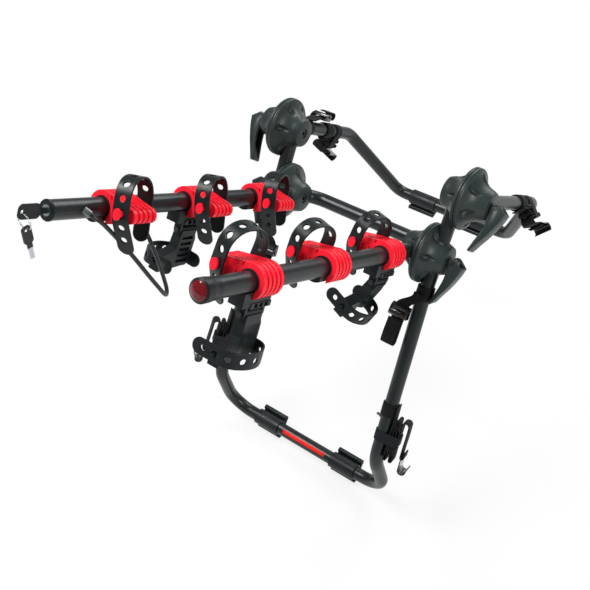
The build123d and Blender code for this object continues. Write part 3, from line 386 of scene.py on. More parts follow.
def soften(thing, width, segments=2, angle=38.0):
    """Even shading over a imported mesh, with a small round on its edges where a width is given."""
    weld = thing.modifiers.new("weld", "WELD")
    weld.merge_threshold = JOIN_GAP
    if width:
        edge = thing.modifiers.new("edge", "BEVEL")
        edge.width = width
        edge.segments = segments
        edge.limit_method = "ANGLE"
        edge.angle_limit = radians(angle)
    normals = thing.modifiers.new("normals", "WEIGHTED_NORMAL")
    normals.keep_sharp = False
    normals.weight = NORMALS_WEIGHT


def soften_nodes():
    """Rounds on holders, mounts, end caps and cradles, and even shading on the painted tubes."""
    for name, node in NODES.items():
        if name.startswith(("holder_right", "holder_left", "holder_mounts", "end_cap")):
            soften(node, HOLDER_EDGE)
        if name.startswith(("cradle_left", "cradle_right")):
            soften(node, CRADLE_EDGE)
        if SLOT_OF[name] == "frame_paint":
            soften(node, 0)


# Cord: the locking cable, through the same route as its solid
CABLE_D = 6.5
FERRULE_SPOT = (22.0, -532.0, -1.0)
FERRULE_WAY = Vector((0.77, 0.5, -0.4))
FERRULE_RUN = 9.0
GLAND_SPOT = (14.85, -424.0, -14.85)
GLAND_WAY = Vector((0.7071, 0.0, -0.7071))
GLAND_RUN = 12.0
CABLE_HANG = [
    (-102.0, -347.8, 709.2), (-101.0, -335.1, 685.1), (-102.0, -320.8, 658.8), (-93.0, -306.1, 622.7),
    (-86.0, -291.6, 585.6), (-81.0, -279.2, 556.8), (-81.5, -271.5, 541.0), (-84.5, -264.0, 532.5),
    (-91.0, -256.5, 537.0), (-94.0, -256.5, 552.0), (-95.5, -259.5, 576.0), (-96.0, -265.8, 608.5),
    (-98.5, -270.5, 634.0),
]


def in_arm(x, y, z):
    """A point of the left arm's frame in the part's frame: y runs back along the arm, and z up from it."""
    return Vector((-ARM_X, LOWER_AXIS.y, LOWER_AXIS.z)) + Vector((x, 0.0, 0.0)) - ALONG_ARM * y + UP_LINK * z


def add_cable():
    ends = [in_arm(*FERRULE_SPOT), in_arm(*(Vector(FERRULE_SPOT) + FERRULE_WAY * FERRULE_RUN))]
    other = [in_arm(*(Vector(GLAND_SPOT) + GLAND_WAY * GLAND_RUN)), in_arm(*GLAND_SPOT)]
    points = ends + [Vector(p) for p in CABLE_HANG] + other
    curve = bpy.data.curves.new("cable", "CURVE")
    curve.dimensions = "3D"
    curve.resolution_u = 8
    curve.bevel_depth = CABLE_D / 2 * MM
    curve.bevel_resolution = 5
    curve.use_fill_caps = True
    spline = curve.splines.new("NURBS")
    spline.points.add(len(points) - 1)
    for slot, point in zip(spline.points, points):
        slot.co = (*(point * MM), 1.0)
    spline.order_u = 3
    spline.use_endpoint_u = True
    cable = new_object("cable", curve)
    curve.materials.append(MATERIALS["cable_jacket"])
    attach(cable, "arms")
    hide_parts("lock_cable")


# Paths, in millimetres
ARC_STEP = radians(15)
ARC_LEAST_STEPS = 3
BEND_SLACK_SHARE = 0.05
LEAST_RUN = 0.0001
LEAST_SINE = 0.01


def fillet_path(points, radii):
    """Samples of the runs between 2D points, with an arc of each radius at the points in between."""
    points = [Vector(p) for p in points]
    samples = [points[0]]
    for before, here, after, radius in zip(points, points[1:], points[2:], radii):
        a = (before - here).normalized()
        b = (after - here).normalized()
        half = a.angle(b) / 2
        setback = radius / tan(half)
        centre = here + (a + b).normalized() * (radius / sin(half))
        first = here + a * setback - centre
        last = here + b * setback - centre
        turn = pi - 2 * half
        steps = max(ARC_LEAST_STEPS, ceil(turn / ARC_STEP))
        for i in range(steps + 1):
            share = i / steps
            if abs(sin(turn)) > LEAST_SINE:
                blend = (first * sin((1 - share) * turn) + last * sin(share * turn)) / sin(turn)
            else:
                blend = first.lerp(last, share)
            samples.append(centre + blend.normalized() * radius)
    samples.append(points[-1])
    return samples


def refine(samples, step):
    """The same path with points no farther apart than step."""
    fine = [samples[0]]
    for a, b in zip(samples, samples[1:]):
        length = (b - a).length
        count = max(1, ceil(length / step))
        fine += [a.lerp(b, (i + 1) / count) for i in range(count) if length > LEAST_RUN]
    return fine


def distances(points):
    """How far along its line each point lies."""
    marks = [0.0]
    for a, b in zip(points, points[1:]):
        marks.append(marks[-1] + (b - a).length)
    return marks


def shade_smooth(mesh):
    for polygon in mesh.polygons:
        polygon.use_smooth = True


# Webbing: flat bands swept along drawn paths
BAND_EDGE_SHARE = 0.3
BAND_STEP = 3.0


def band_mesh(name, place, width_ways, width, thickness, closed=False):
    """A woven band: its middle line's points, and the direction of its width, one for all or one for each."""
    if isinstance(width_ways, Vector):
        width_ways = [width_ways] * len(place)
    edge = thickness * BAND_EDGE_SHARE
    section = [(-width / 2, 0.0)]
    section += [(x, thickness / 2) for x in (-width / 2 + edge, -width / 4, 0.0, width / 4, width / 2 - edge)]
    section += [(-x, -y) for x, y in section]
    count = len(section)
    rows = len(place)
    vertices = []
    for i, point in enumerate(place):
        ahead = place[(i + 1) % rows] if closed else place[min(i + 1, rows - 1)]
        behind = place[i - 1] if closed or i else place[0]
        run = (ahead - behind).normalized()
        face = run.cross(width_ways[i]).normalized()
        vertices += [(point + width_ways[i] * across + face * out) * MM for across, out in section]
    marks = distances(place)
    if closed:
        marks.append(marks[-1] + (place[0] - place[-1]).length)
    faces = []
    uvs = []
    for i in range(len(marks) - 1):
        j = (i + 1) % rows
        s0 = marks[i] * MM
        s1 = marks[i + 1] * MM
        for k in range(count):
            n = (k + 1) % count
            faces.append((i * count + k, i * count + n, j * count + n, j * count + k))
            a = section[k][0] * MM
            b = section[n][0] * MM
            uvs += [(s0, a), (s0, b), (s1, b), (s1, a)]
    if not closed:
        for ring, flip in ((0, True), (rows - 1, False)):
            cap = [ring * count + k for k in range(count)]
            faces.append(tuple(reversed(cap)) if flip else tuple(cap))
            uvs += [(section[k][1] * MM, section[k][0] * MM) for k in range(count)]
    mesh = bpy.data.meshes.new(name)
    mesh.from_pydata(vertices, [], faces)
    layer = mesh.uv_layers.new(name=WEAVE_UV)
    for loop, uv in zip(layer.data, uvs):
        loop.uv = uv
    shade_smooth(mesh)
    mesh.update()
    work = bmesh.new()
    work.from_mesh(mesh)
    bmesh.ops.recalc_face_normals(work, faces=work.faces)
    work.to_mesh(mesh)
    work.free()
    return mesh


def add_piece(name, mesh, material, body):
    piece = new_object(name, mesh)
    mesh.materials.append(MATERIALS[material])
    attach(piece, body)
    return piece


class Bed:
    """A frame on a tube's axis: x along the webbing's run, y away from the tube, z across the webbing."""

    def __init__(self, origin, x, y, z):
        self.origin = origin
        self.x = x
        self.y = y
        self.z = z

    def at(self, u, v, w=0.0):
        return self.origin + self.x * u + self.y * v + self.z * w

    def mirrored(self):
        flip = Vector((-1.0, 1.0, 1.0))
        return Bed(*(Vector(a * b for a, b in zip(v, flip)) for v in (self.origin, self.x, self.y, self.z)))


def bed_on(origin, run, out):
    """The frame at a point of a tube's axis, with its y toward out."""
    x = run.normalized()
    z = x.cross(out).normalized()
    return Bed(origin, x, z.cross(x).normalized(), z)


def turned_out(way, turn_deg):
    """A direction square to a left-hand tube: 0 away from the middle, 90 away from the car."""
    front = Vector((-1.0, 0.0, 0.0)).cross(way).normalized()
    side = way.cross(front).normalized()
    side = side * (-1.0 if side.x > 0 else 1.0)
    front = front * (-1.0 if front.y > 0 else 1.0)
    return side * cos(radians(turn_deg)) + front * sin(radians(turn_deg))


def leg_line(distance):
    """The point of the left leg's axis at a distance below the lower axle, and the leg's direction."""
    start = LOWER_AXIS - UP_LINK * SPLAY_START + Vector((-LEG_X, 0.0, 0.0))
    way = (KNEE + Vector((-KNEE_X, 0.0, 0.0)) - start).normalized()
    return start + way * (distance - SPLAY_START), way


# Folded webbing; a sway is how far the band strays, and over how long a run
FIRST_OUT = FRAME_R + SOFT_GAP + WEB_T * 3 / 4
COLLAR_STEPS = 36
TIE_STEPS = 24
TIE_BEND_R = 2.0
TIE_STEP = 4.0
EASE_RUN = 40.0
EASE_END = 30.0
HANK_ALONG_SWAY = (1.2, 23.0)
HANK_LIFT_SWAY = (0.25, 8.0)
HANK_SIDE_SWAY = (1.5, 31.0)


def sway(size, run, phase, ease):
    return size[0] * sin(run / size[1] + phase) * ease


def collar(name, bed, body):
    radius = FRAME_R + SOFT_GAP + WEB_T / 2
    turns = [2 * pi * i / COLLAR_STEPS for i in range(COLLAR_STEPS)]
    ring = [bed.at(-WEB_W / 2, radius * cos(a), radius * sin(a)) for a in turns]
    mesh = band_mesh(name, ring, bed.x, WEB_W, WEB_T, closed=True)
    return add_piece(name, mesh, "webbing", body)


def hull_ring(reach, half, radius):
    """Outline of a tie round a tube and the flat bundle beside it, in the plane across the tube."""
    corner = Vector((reach, half))
    touch = corner.angle(Vector((1.0, 0.0))) + acos(min(1.0, radius / corner.length))
    turns = [touch + (2 * pi - 2 * touch) * i / TIE_STEPS for i in range(TIE_STEPS + 1)]
    arc = [Vector((radius * cos(a), radius * sin(a))) for a in turns]
    corners = fillet_path([arc[-1], Vector((reach, -half)), corner, arc[0]], [TIE_BEND_R] * 2)
    return refine(arc + corners[1:-1], TIE_STEP)


def hank(name, bed, length, tail, body, phase):
    """A bundle of folded webbing beside a tube, with its collar and the tie round both."""
    points = [(-WEB_W, 0.0)]
    radii = []
    out = 0.0
    for i in range(HANK_LAYERS):
        end = length if i % 2 == 0 else 0.0
        step = WEB_PITCH if i < HANK_LAYERS - 1 else TAIL_OUT
        points += [(end, out), (end, out + step)]
        radii += [step / 2 * (1 - BEND_SLACK_SHARE)] * 2
        out += step
    points += [(tail, out), (tail, out + HOOK_LOOP), (tail - WEB_W / 2, out + HOOK_LOOP)]
    radii += [HOOK_LOOP / 2 * (1 - BEND_SLACK_SHARE)] * 2
    samples = refine(fillet_path(points, radii), BAND_STEP)
    marks = distances(samples)
    placed = []
    for run, point in zip(marks, samples):
        ease = min(1.0, run / EASE_RUN, max(0.0, (marks[-1] - run - EASE_END) / EASE_RUN))
        placed.append(bed.at(point.x + sway(HANK_ALONG_SWAY, run, phase, ease),
                             FIRST_OUT + point.y + sway(HANK_LIFT_SWAY, run, phase * 2, ease),
                             sway(HANK_SIDE_SWAY, run, phase, ease)))
    webbing = add_piece(name, band_mesh(name, placed, bed.z, WEB_W, WEB_T), "webbing", body)
    pieces = [webbing, collar(name + "_collar", bed, body)]
    reach = FRAME_R + SOFT_GAP + WEB_T * 5 / 4 + WEB_PITCH * (HANK_LAYERS - 1) + SOFT_GAP + TIE_T / 2
    ring = hull_ring(reach, WEB_W / 2 + SOFT_GAP + TIE_T / 2, FRAME_R + SOFT_GAP + TIE_T / 2)
    placed = [bed.at(length / 2, p.x, p.y) for p in ring]
    tie = band_mesh(name + "_tie", placed, bed.x, TIE_W, TIE_T, closed=True)
    return pieces + [add_piece(name + "_tie", tie, "tie", body)]


# Straps that run from a collar through a cam buckle
DRAPE_START = -8.0
DRAPE_END = 20.0
DRAPE_EASE = 30.0
STRAP_LIFT_SWAY = (0.5, 11.0)
STRAP_SIDE_SWAY = (1.4, 40.0)
BUCKLE_AT = 30.5
FACE_WAY = Vector((-0.6, -0.8, 0.25))
MOST_TURN = radians(60.0)


def facing(bed):
    """How far a strap turns about its run, for its face to look away from the car and outward."""
    return max(-MOST_TURN, min(MOST_TURN, atan2(FACE_WAY.dot(bed.z), FACE_WAY.dot(bed.y))))


def buckle_strap(name, bed, tail, body, phase, twist=0.0, lift=0.0):
    """Webbing from its collar through a cam buckle to a folded tail, turned about its run by twist."""
    points = [(-WEB_W / 2, 0.0), (tail, 0.0), (tail, WEB_FOLD), (BUCKLE_AT + BUCKLE_H / 2 + WEB_T, WEB_FOLD)]
    radii = [WEB_FOLD / 2 * (1 - BEND_SLACK_SHARE)] * 2
    samples = refine(fillet_path(points, radii), BAND_STEP)
    core = FIRST_OUT + BUCKLE_OUT + lift
    face = bed.y * cos(twist) + bed.z * sin(twist)
    across = bed.z * cos(twist) - bed.y * sin(twist)
    placed = []
    for run, point in zip(distances(samples), samples):
        ease = max(0.0, min(1.0, (run - DRAPE_END) / DRAPE_EASE))
        share = max(0.0, min(1.0, (point.x - DRAPE_START) / (DRAPE_END - DRAPE_START)))
        share = share * share * (3 - 2 * share)
        high = (FIRST_OUT + WEB_T) * (1 - share) + core * cos(twist) * share
        out = high + point.y + sway(STRAP_LIFT_SWAY, run, phase, ease)
        side = sway(STRAP_SIDE_SWAY, run, phase, ease) - core * sin(twist) * share
        placed.append(bed.at(point.x, 0.0) + face * out + across * side)
    webbing = add_piece(name, band_mesh(name, placed, across, WEB_W, WEB_T), "webbing", body)
    soft = [webbing, collar(name + "_collar", bed, body)]
    return soft, cam_buckle(name + "_buckle", Bed(bed.at(BUCKLE_AT, core), bed.x, face, across), body)


# Cam buckles
BUCKLE_W = 36.0
BUCKLE_T = 1.8
BUCKLE_EDGE = 0.5
PLATE_CORNER_R = 2.0
WINDOW_CORNER_R = 1.2
WINDOW_SHARES = (0.3, 0.6)
CAM_SHARES = (0.9, 0.86)
CAM_WINDOW_SHARES = (0.22, 0.62)
CHEEK_H = 11.0
CHEEK_TOP_SHARE = 0.7
CHEEK_FOOT = 0.8
CHEEK_FRONT = 1.0
CHEEK_BACK = 1.5
ROLL_L = 12.0
ROLL_H = 8.0
ROLL_EDGE = 1.0
ROLL_LIFT = 0.5
ROLL_CORNER_SHARE = 0.45
BUCKLE_SHARP = 35
CORNER_STEPS = 4


def rounded_box(width, height, radius):
    """A ring of points: a rectangle with round corners."""
    ring = []
    for cx, cy, start in ((1, 1, 0), (-1, 1, 90), (-1, -1, 180), (1, -1, 270)):
        for i in range(CORNER_STEPS + 1):
            a = radians(start + 90 * i / CORNER_STEPS)
            x = cx * (width / 2 - radius) + radius * cos(a)
            y = cy * (height / 2 - radius) + radius * sin(a)
            ring.append((x, y))
    return ring


def cam_buckle(name, bed, body):
    """Pressed cam buckle: bed plate, two cheeks, a cam plate with its window and a rolled front edge."""
    low = -(WEB_T / 2 + SOFT_GAP + BUCKLE_T / 2)
    parts = []
    for y, size, window in ((low, (1, 1), WINDOW_SHARES), (CHEEK_H / 2, CAM_SHARES, CAM_WINDOW_SHARES)):
        outline = rounded_box(BUCKLE_H * size[0], BUCKLE_W * size[1], PLATE_CORNER_R)
        hole = rounded_box(BUCKLE_H * window[0], BUCKLE_W * window[1], WINDOW_CORNER_R)
        plate = plate_mesh(outline, [hole], BUCKLE_T, BUCKLE_EDGE)
        parts.append((plate, lambda u, v, w, y=y: (u, y + w, v)))
    top = CHEEK_H * CHEEK_TOP_SHARE
    cheek = [(-BUCKLE_H / 2, low - CHEEK_FOOT), (BUCKLE_H / 2, low - CHEEK_FOOT), (BUCKLE_H / 2, CHEEK_FRONT),
             (BUCKLE_H / 4, top), (-BUCKLE_H / 5, top), (-BUCKLE_H / 2, CHEEK_BACK)]
    for z in (BUCKLE_T / 2 - BUCKLE_W / 2, BUCKLE_W / 2 - BUCKLE_T / 2):
        flat = plate_mesh(cheek, [], BUCKLE_T, BUCKLE_EDGE)
        parts.append((flat, lambda u, v, w, z=z: (u, v, z + w)))
    roll = plate_mesh(rounded_box(ROLL_L, ROLL_H, ROLL_H * ROLL_CORNER_SHARE), [], BUCKLE_W, ROLL_EDGE)
    parts.append((roll, lambda u, v, w: (u + (BUCKLE_H - ROLL_L) / 2, v + CHEEK_H / 2 + ROLL_LIFT, w)))
    whole = bmesh.new()
    for flat, lay in parts:
        for vertex in flat.vertices:
            vertex.co = bed.at(*lay(*vertex.co)) * MM
        whole.from_mesh(flat)
    return add_piece(name, finish_mesh(whole, name, BUCKLE_SHARP), "buckle_metal", body)


# Places of the webbing on the left-hand tubes, with turns in degrees
LOWER_HANK_AT = {"left": 285.0, "right": 303.0}
LOWER_HANK_LENGTH = 78.0
LOWER_HANK_TAIL = 66.0
LOWER_HANK_TURNS = {"left": 45.0, "right": -10.0}
SIDE_STRAP_TURN = 150.0
SIDE_STRAP_TAIL = 92.0
SIDE_LIFT = 6.0
UPPER_HANK_AT = {"left": 186.0, "right": 204.0}
UPPER_HANK_LENGTH = 46.0
UPPER_HANK_TAIL = 44.0
UPPER_HANK_TURNS = {"left": 70.0, "right": 45.0}
UPPER_BUCKLE_AT = 110.0
UPPER_BUCKLE_TAIL = 64.0
UPPER_BUCKLE_PHASE = 1.0
PHASES = {"left": 0.4, "right": 2.1}


def upper_point(distance):
    """The point of the upper frame's left-hand tube at a distance from the upper axle."""
    return UPPER_AXIS + UPPER_WAY * distance + Vector((-UPPER_X, 0.0, 0.0))


def add_webbing():
    lower = []
    sides = []
    upper = []
    for side, phase in PHASES.items():
        point, way = leg_line(LOWER_HANK_AT[side])
        lower_bed = bed_on(point, way, turned_out(way, LOWER_HANK_TURNS[side]))
        way = UP_LINK * -1
        point = LOWER_AXIS + way * (RIM_R + WEB_W + 2 * SOFT_GAP) + Vector((-LEG_X, 0.0, 0.0))
        side_bed = bed_on(point, way, turned_out(way, SIDE_STRAP_TURN))
        out = turned_out(UPPER_WAY, UPPER_HANK_TURNS[side])
        beds = [lower_bed, side_bed, bed_on(upper_point(UPPER_HANK_AT[side]), UPPER_WAY, out)]
        side_twist = facing(side_bed)
        if side == "right":
            beds = [bed.mirrored() for bed in beds]
        lower += hank("lower_strap_" + side, beds[0], LOWER_HANK_LENGTH, LOWER_HANK_TAIL, "main_frame", phase)
        soft, buckle = buckle_strap("side_strap_" + side, beds[1], SIDE_STRAP_TAIL, "main_frame", phase,
                                    side_twist, SIDE_LIFT)
        sides += soft
        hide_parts("side_buckles")
        upper += hank("upper_strap_" + side, beds[2], UPPER_HANK_LENGTH, UPPER_HANK_TAIL, "upper_frame",
                      phase)
    bed = bed_on(upper_point(UPPER_BUCKLE_AT), UPPER_WAY, Vector((0.0, -UPPER_WAY.z, UPPER_WAY.y)))
    soft, buckle = buckle_strap("upper_buckle_strap", bed, UPPER_BUCKLE_TAIL, "upper_frame",
                                UPPER_BUCKLE_PHASE)
    upper += soft
    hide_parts("upper_buckle")
    for pieces, node in ((lower, "lower_straps"), (sides, "side_straps"), (upper, "upper_straps")):
        for piece in pieces:
            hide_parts(node)


# Pieces that stand in for a CAD node, on the same body
FINISH_GAP = 0.000002
PLATE_GAP = 0.001
CIRCLE_STEPS = 28


def stand_in(name, mesh):
    mesh.name = name + "_piece"
    piece = add_piece(name + "_piece", mesh, SLOT_OF[name], NODES[name]["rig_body"])
    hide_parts(name)
    return piece


def circle(x, y, radius):
    turns = [2 * pi * i / CIRCLE_STEPS for i in range(CIRCLE_STEPS)]
    return [(x + radius * cos(a), y + radius * sin(a)) for a in turns]


def plate_mesh(outline, holes, thickness, edge):
    """A flat plate about the XY plane with rounded edges, in millimetres, from rings of points."""
    curve = bpy.data.curves.new("outline", "CURVE")
    curve.dimensions = "2D"
    curve.fill_mode = "BOTH"
    curve.extrude = thickness / 2 - edge
    curve.bevel_depth = edge
    curve.bevel_resolution = 1
    curve.offset = -edge
    for ring in [outline] + holes:
        spline = curve.splines.new("POLY")
        spline.points.add(len(ring) - 1)
        for slot, (x, y) in zip(spline.points, ring):
            slot.co = (x, y, 0.0, 1.0)
        spline.use_cyclic_u = True
    drawn = new_object("outline", curve)
    mesh = bpy.data.meshes.new_from_object(drawn)
    bpy.data.objects.remove(drawn)
    mesh.materials.clear()
    return mesh


def finish_mesh(work, name, sharp_deg):
    """Weld, point the faces outward and shade smooth up to an angle."""
    bmesh.ops.remove_doubles(work, verts=work.verts, dist=FINISH_GAP)
    bmesh.ops.recalc_face_normals(work, faces=work.faces)
    mesh = bpy.data.meshes.new(name)
    work.to_mesh(mesh)
    work.free()
    shade_smooth(mesh)
    mesh.set_sharp_from_angle(angle=radians(sharp_deg))
    return mesh


def mapped(mesh, cuts, place):
    """The plate cut across X at even steps, with place(x, y, z) giving each vertex's point in millimetres."""
    work = bmesh.new()
    work.from_mesh(mesh)
    bmesh.ops.remove_doubles(work, verts=work.verts, dist=PLATE_GAP)
    low = min(v.co.x for v in work.verts)
    high = max(v.co.x for v in work.verts)
    for i in range(1, cuts):
        geometry = work.verts[:] + work.edges[:] + work.faces[:]
        bmesh.ops.bisect_plane(work, geom=geometry, plane_co=(low + (high - low) * i / cuts, 0, 0),
                               plane_no=(1, 0, 0), dist=PLATE_GAP)
    for vertex in work.verts:
        vertex.co = place(*vertex.co) * MM
    return work


# Rubber straps bent along a flat path
TRACK_STEP = 2.0
STRAP_CUT = 3.0
STRAP_EDGE = 0.7
STRAP_SHARP = 40
END_STEPS = 16


class Track:
    """A flat path with its point and direction at each distance."""

    def __init__(self, points, radii):
        self.samples = refine(fillet_path(points, radii), TRACK_STEP)
        self.marks = distances(self.samples)
        self.length = self.marks[-1]
        last = len(self.samples) - 1
        self.ways = [(self.samples[min(i + 1, last)] - self.samples[max(i - 1, 0)]).normalized()
                     for i in range(last + 1)]

    def at(self, distance):
        inside = min(max(distance, 0.0), self.length)
        i = 0
        while i < len(self.marks) - 2 and self.marks[i + 1] < inside:
            i += 1
        share = (inside - self.marks[i]) / (self.marks[i + 1] - self.marks[i])
        way = self.ways[i].lerp(self.ways[i + 1], share).normalized()
        return self.samples[i].lerp(self.samples[i + 1], share) + way * (distance - inside), way


def strap_outline(length, width):
    """A strip with round ends, its straight part from 0 to length."""
    half = width / 2
    turns = [pi * (i / END_STEPS - 0.5) for i in range(END_STEPS + 1)]
    right = [(length + half * cos(a), half * sin(a)) for a in turns]
    return right + [(length - x, -y) for x, y in right]


def rubber_strap(name, track, origin, along, rise, width, thickness, holes, hole_r, to_world):
    """A punched strap bent along its track, in a plane of the left arm's frame."""
    across = along.cross(rise)
    punched = [circle(at, 0.0, hole_r) for at in holes]
    strip = plate_mesh(strap_outline(track.length, width), punched, thickness, STRAP_EDGE)

    def place(x, y, z):
        spot, way = track.at(x)
        face = (along * way.x + rise * way.y).cross(across)
        return to_world(origin + along * spot.x + rise * spot.y + across * y + face * z)

    work = mapped(strip, ceil(track.length / STRAP_CUT), place)
    stand_in(name, finish_mesh(work, name, STRAP_SHARP))


# Rubber straps of the cradles and holders
CRADLE_FIRST = 491.0
CRADLE_PITCH = 176.0
CRADLE_LENGTH = 44.0
PEG = (46.0, 7.0)
PEG_R = 4.0
STRAP_W = 25.0
STRAP_T = 3.4
STRAP_GAP = 9.5
STRAP_HOLE_R = 4.9
STRAP_HOLE_PITCH = 21.0
STRAP_ARCH_R = 31.0
STRAP_TAIL = 50.0
STRAP_TAIL_BACK = 22.0
STRAP_YAW = radians(14.0)
STRAP_TILT = radians(9.0)
STRAP_BEND_R = 22.0
STRAP_REAR_DROP = 36.0
TURN_GAP = 0.25
HEIGHTS_LEANS = {"left_near": (48.0, 8.0), "left_middle": (46.0, -6.0), "left_far": (46.0, 0.0),
                 "right_near": (56.0, -2.0), "right_middle": (48.0, -6.0), "right_far": (50.0, 0.0)}
PLACES = ("near", "middle", "far")
SWINGS = {"right_near": 0.0, "left_middle": radians(4.0), "right_far": radians(-24.0)}
PIVOT_Z = 46.0
HOLDER_STRAP_Z = 96.0
HOLDER_STRAP_W = 23.0
HOLDER_STRAP_T = 3.2
HOLDER_TOE = -30.0
HOLDER_T = 18.0
HOLDER_BACK = 41.93
HOLDER_BULGE = 4.0
HOLDER_BEND_R = 22.0
HOLDER_LOOP_R = 46.0
HOLDER_HOLE_R = 4.3
HOLDER_HOLE_PITCH = 19.0


def on_side(side, spot):
    """A point drawn on the left, on either side."""
    return Vector((-spot.x, spot.y, spot.z)) if side == "right" else spot


def arm_place(name):
    """Turns a point of a cradle's frame into the part's frame, on either arm."""
    side, place = name.split("_")
    back = CRADLE_FIRST - PLACES.index(place) * CRADLE_PITCH
    return lambda point: on_side(side, in_arm(point.x, point.y - back, point.z))


def add_cradle_strap(name):
    back_y = CRADLE_LENGTH + SOFT_GAP + STRAP_T / 2 + STRAP_W / 2 * sin(STRAP_YAW) + TURN_GAP
    front = -(STRAP_GAP + STRAP_T / 2)
    span = (back_y - front) / cos(STRAP_YAW)
    height, lean = HEIGHTS_LEANS[name]
    points = [(STRAP_TAIL_BACK, -STRAP_TAIL), (0.0, -2 * PEG_R), (lean, height),
              (span + max(lean, 0.0), height), (span, -STRAP_REAR_DROP)]
    arch_r = min(STRAP_ARCH_R, span / 2 * (1 - BEND_SLACK_SHARE))
    track = Track(points, [STRAP_BEND_R, arch_r, arch_r])
    bend = (Vector(points[1]) - Vector(points[0])).angle(Vector(points[2]) - Vector(points[1]))
    saved = STRAP_BEND_R * (2 * tan(bend / 2) - bend)
    peg_at = hypot(STRAP_TAIL_BACK, STRAP_TAIL - 2 * PEG_R) + 2 * PEG_R - saved
    rear_at = track.length - STRAP_REAR_DROP
    first = peg_at - STRAP_HOLE_PITCH * int(peg_at / STRAP_HOLE_PITCH)
    count = int((rear_at - STRAP_HOLE_PITCH * 2 / 3 - first) / STRAP_HOLE_PITCH) + 1
    holes = [first + STRAP_HOLE_PITCH * i for i in range(count)] + [rear_at]
    along = Vector((-sin(STRAP_YAW), cos(STRAP_YAW), 0.0))
    up = Vector((-cos(STRAP_YAW) * sin(STRAP_TILT), -sin(STRAP_YAW) * sin(STRAP_TILT), cos(STRAP_TILT)))
    rise = along.cross(up).normalized().cross(along)
    rubber_strap("cradle_strap_" + name, track, Vector((PEG[0], front, PEG[1])), along, rise, STRAP_W,
                 STRAP_T, holes, STRAP_HOLE_R, arm_place(name))


def add_holder_strap(name):
    front = HOLDER_TOE - SOFT_GAP - HOLDER_STRAP_T / 2
    back = HOLDER_BACK + SOFT_GAP + HOLDER_STRAP_T / 2
    bulge = HOLDER_T + HOLDER_BULGE
    points = [(STRAP_W, front), (-bulge, front), (-2 * bulge, (front + back) / 2), (-bulge, back),
              (HOLDER_T, back)]
    track = Track(points, [HOLDER_BEND_R, HOLDER_LOOP_R, HOLDER_BEND_R])
    last = track.length - HOLDER_T
    count = round((last - STRAP_W) / HOLDER_HOLE_PITCH)
    holes = [STRAP_W + (last - STRAP_W) * i / count for i in range(count + 1)] + [STRAP_W - HOLDER_HOLE_PITCH]
    turn = Matrix.Rotation(SWINGS[name], 3, "Y")
    pivot = Vector((0.0, 0.0, -PIVOT_Z))
    to_world = arm_place(name)
    rubber_strap("holder_strap_" + name, track, Vector((0.0, 0.0, -HOLDER_STRAP_Z)), Vector((1.0, 0.0, 0.0)),
                 Vector((0.0, 1.0, 0.0)), HOLDER_STRAP_W, HOLDER_STRAP_T, holes, HOLDER_HOLE_R,
                 lambda point: to_world(turn @ (point - pivot) + pivot))


# Clamp hubs: turned bells with teardrop hollows
HUB_CORE_R = 0.5
RIM_T = 4.5
RIM_GAP = 0.25
RIM_STEP = 2.0
RIM_ROUND = 1.2
RIM_BITE = 0.35
RIM_LIP = (0.3, 0.8)
HUB_DEPTH = 42.0
WAIST = (27.5, 33.0)
NECK = (0.8, 2.5)
BELL_MID = (37.0, 15.5)
BELL_STEPS = 30
CAP_R = 25.0
CAP_EDGE = 2.5
CAP_BITE = (0.7, 0.9)
RECESS_R = 8.4
RECESS_EDGE = 0.6
RECESS_DEPTH = 7.0
HUB_STEPS = 240
HUB_SHARP = 32
SCALLOPS = 6
SCALLOP_HALF = 6.6
SCALLOP_REACH = 14.0
SCALLOP_DEPTH = 5.4
SCALLOP_SHARE = 0.48
SCALLOP_TAPER_SHARE = 0.45
LINK_AXES = {"lower": LOWER_AXIS, "upper": UPPER_AXIS}
RIM_X = {"lower": 152.0, "upper": 190.0}
HUB_WAYS = {("lower", "inner"): ALONG_ARM, ("lower", "outer"): UP_LINK, ("upper", "inner"): UP_LINK * -1,
            ("upper", "outer"): UPPER_WAY}


def arc_through(a, b, c, count):
    """Points of the arc through three points."""
    d = 2 * (a[0] * (b[1] - c[1]) + b[0] * (c[1] - a[1]) + c[0] * (a[1] - b[1]))
    sa, sb, sc = (p[0] ** 2 + p[1] ** 2 for p in (a, b, c))
    x = (sa * (b[1] - c[1]) + sb * (c[1] - a[1]) + sc * (a[1] - b[1])) / d
    y = (sa * (c[0] - b[0]) + sb * (a[0] - c[0]) + sc * (b[0] - a[0])) / d
    centre = Vector((x, y))
    start = Vector(a) - centre
    turn = start.angle_signed(Vector(c) - centre)
    return [centre + Matrix.Rotation(-turn * i / count, 2) @ start for i in range(count + 1)]


def hub_profile(recess):
    """Radius and height of a bell's rings, in three stretches: rim, bell and cap."""
    rim = [(HUB_CORE_R, RIM_GAP), (RIM_R - RIM_ROUND, RIM_GAP), (RIM_R - RIM_BITE, RIM_GAP + RIM_BITE),
           (RIM_R, RIM_GAP + RIM_ROUND), (RIM_R, RIM_T - RIM_LIP[1]), (RIM_R - RIM_LIP[0], RIM_T)]
    bell = arc_through((RIM_R - RIM_STEP, RIM_T + RIM_STEP), BELL_MID, WAIST, BELL_STEPS)
    cap = [(WAIST[0] - NECK[0], WAIST[1] + NECK[1]), (CAP_R, HUB_DEPTH - CAP_EDGE),
           (CAP_R - CAP_BITE[0], HUB_DEPTH - CAP_BITE[1]), (CAP_R - CAP_EDGE, HUB_DEPTH)]
    floor = HUB_DEPTH
    if recess:
        floor = HUB_DEPTH - RECESS_DEPTH
        cap += [(RECESS_R + RECESS_EDGE, HUB_DEPTH), (RECESS_R, HUB_DEPTH - RECESS_EDGE), (RECESS_R, floor)]
    return rim, bell, cap + [(HUB_CORE_R, floor)]


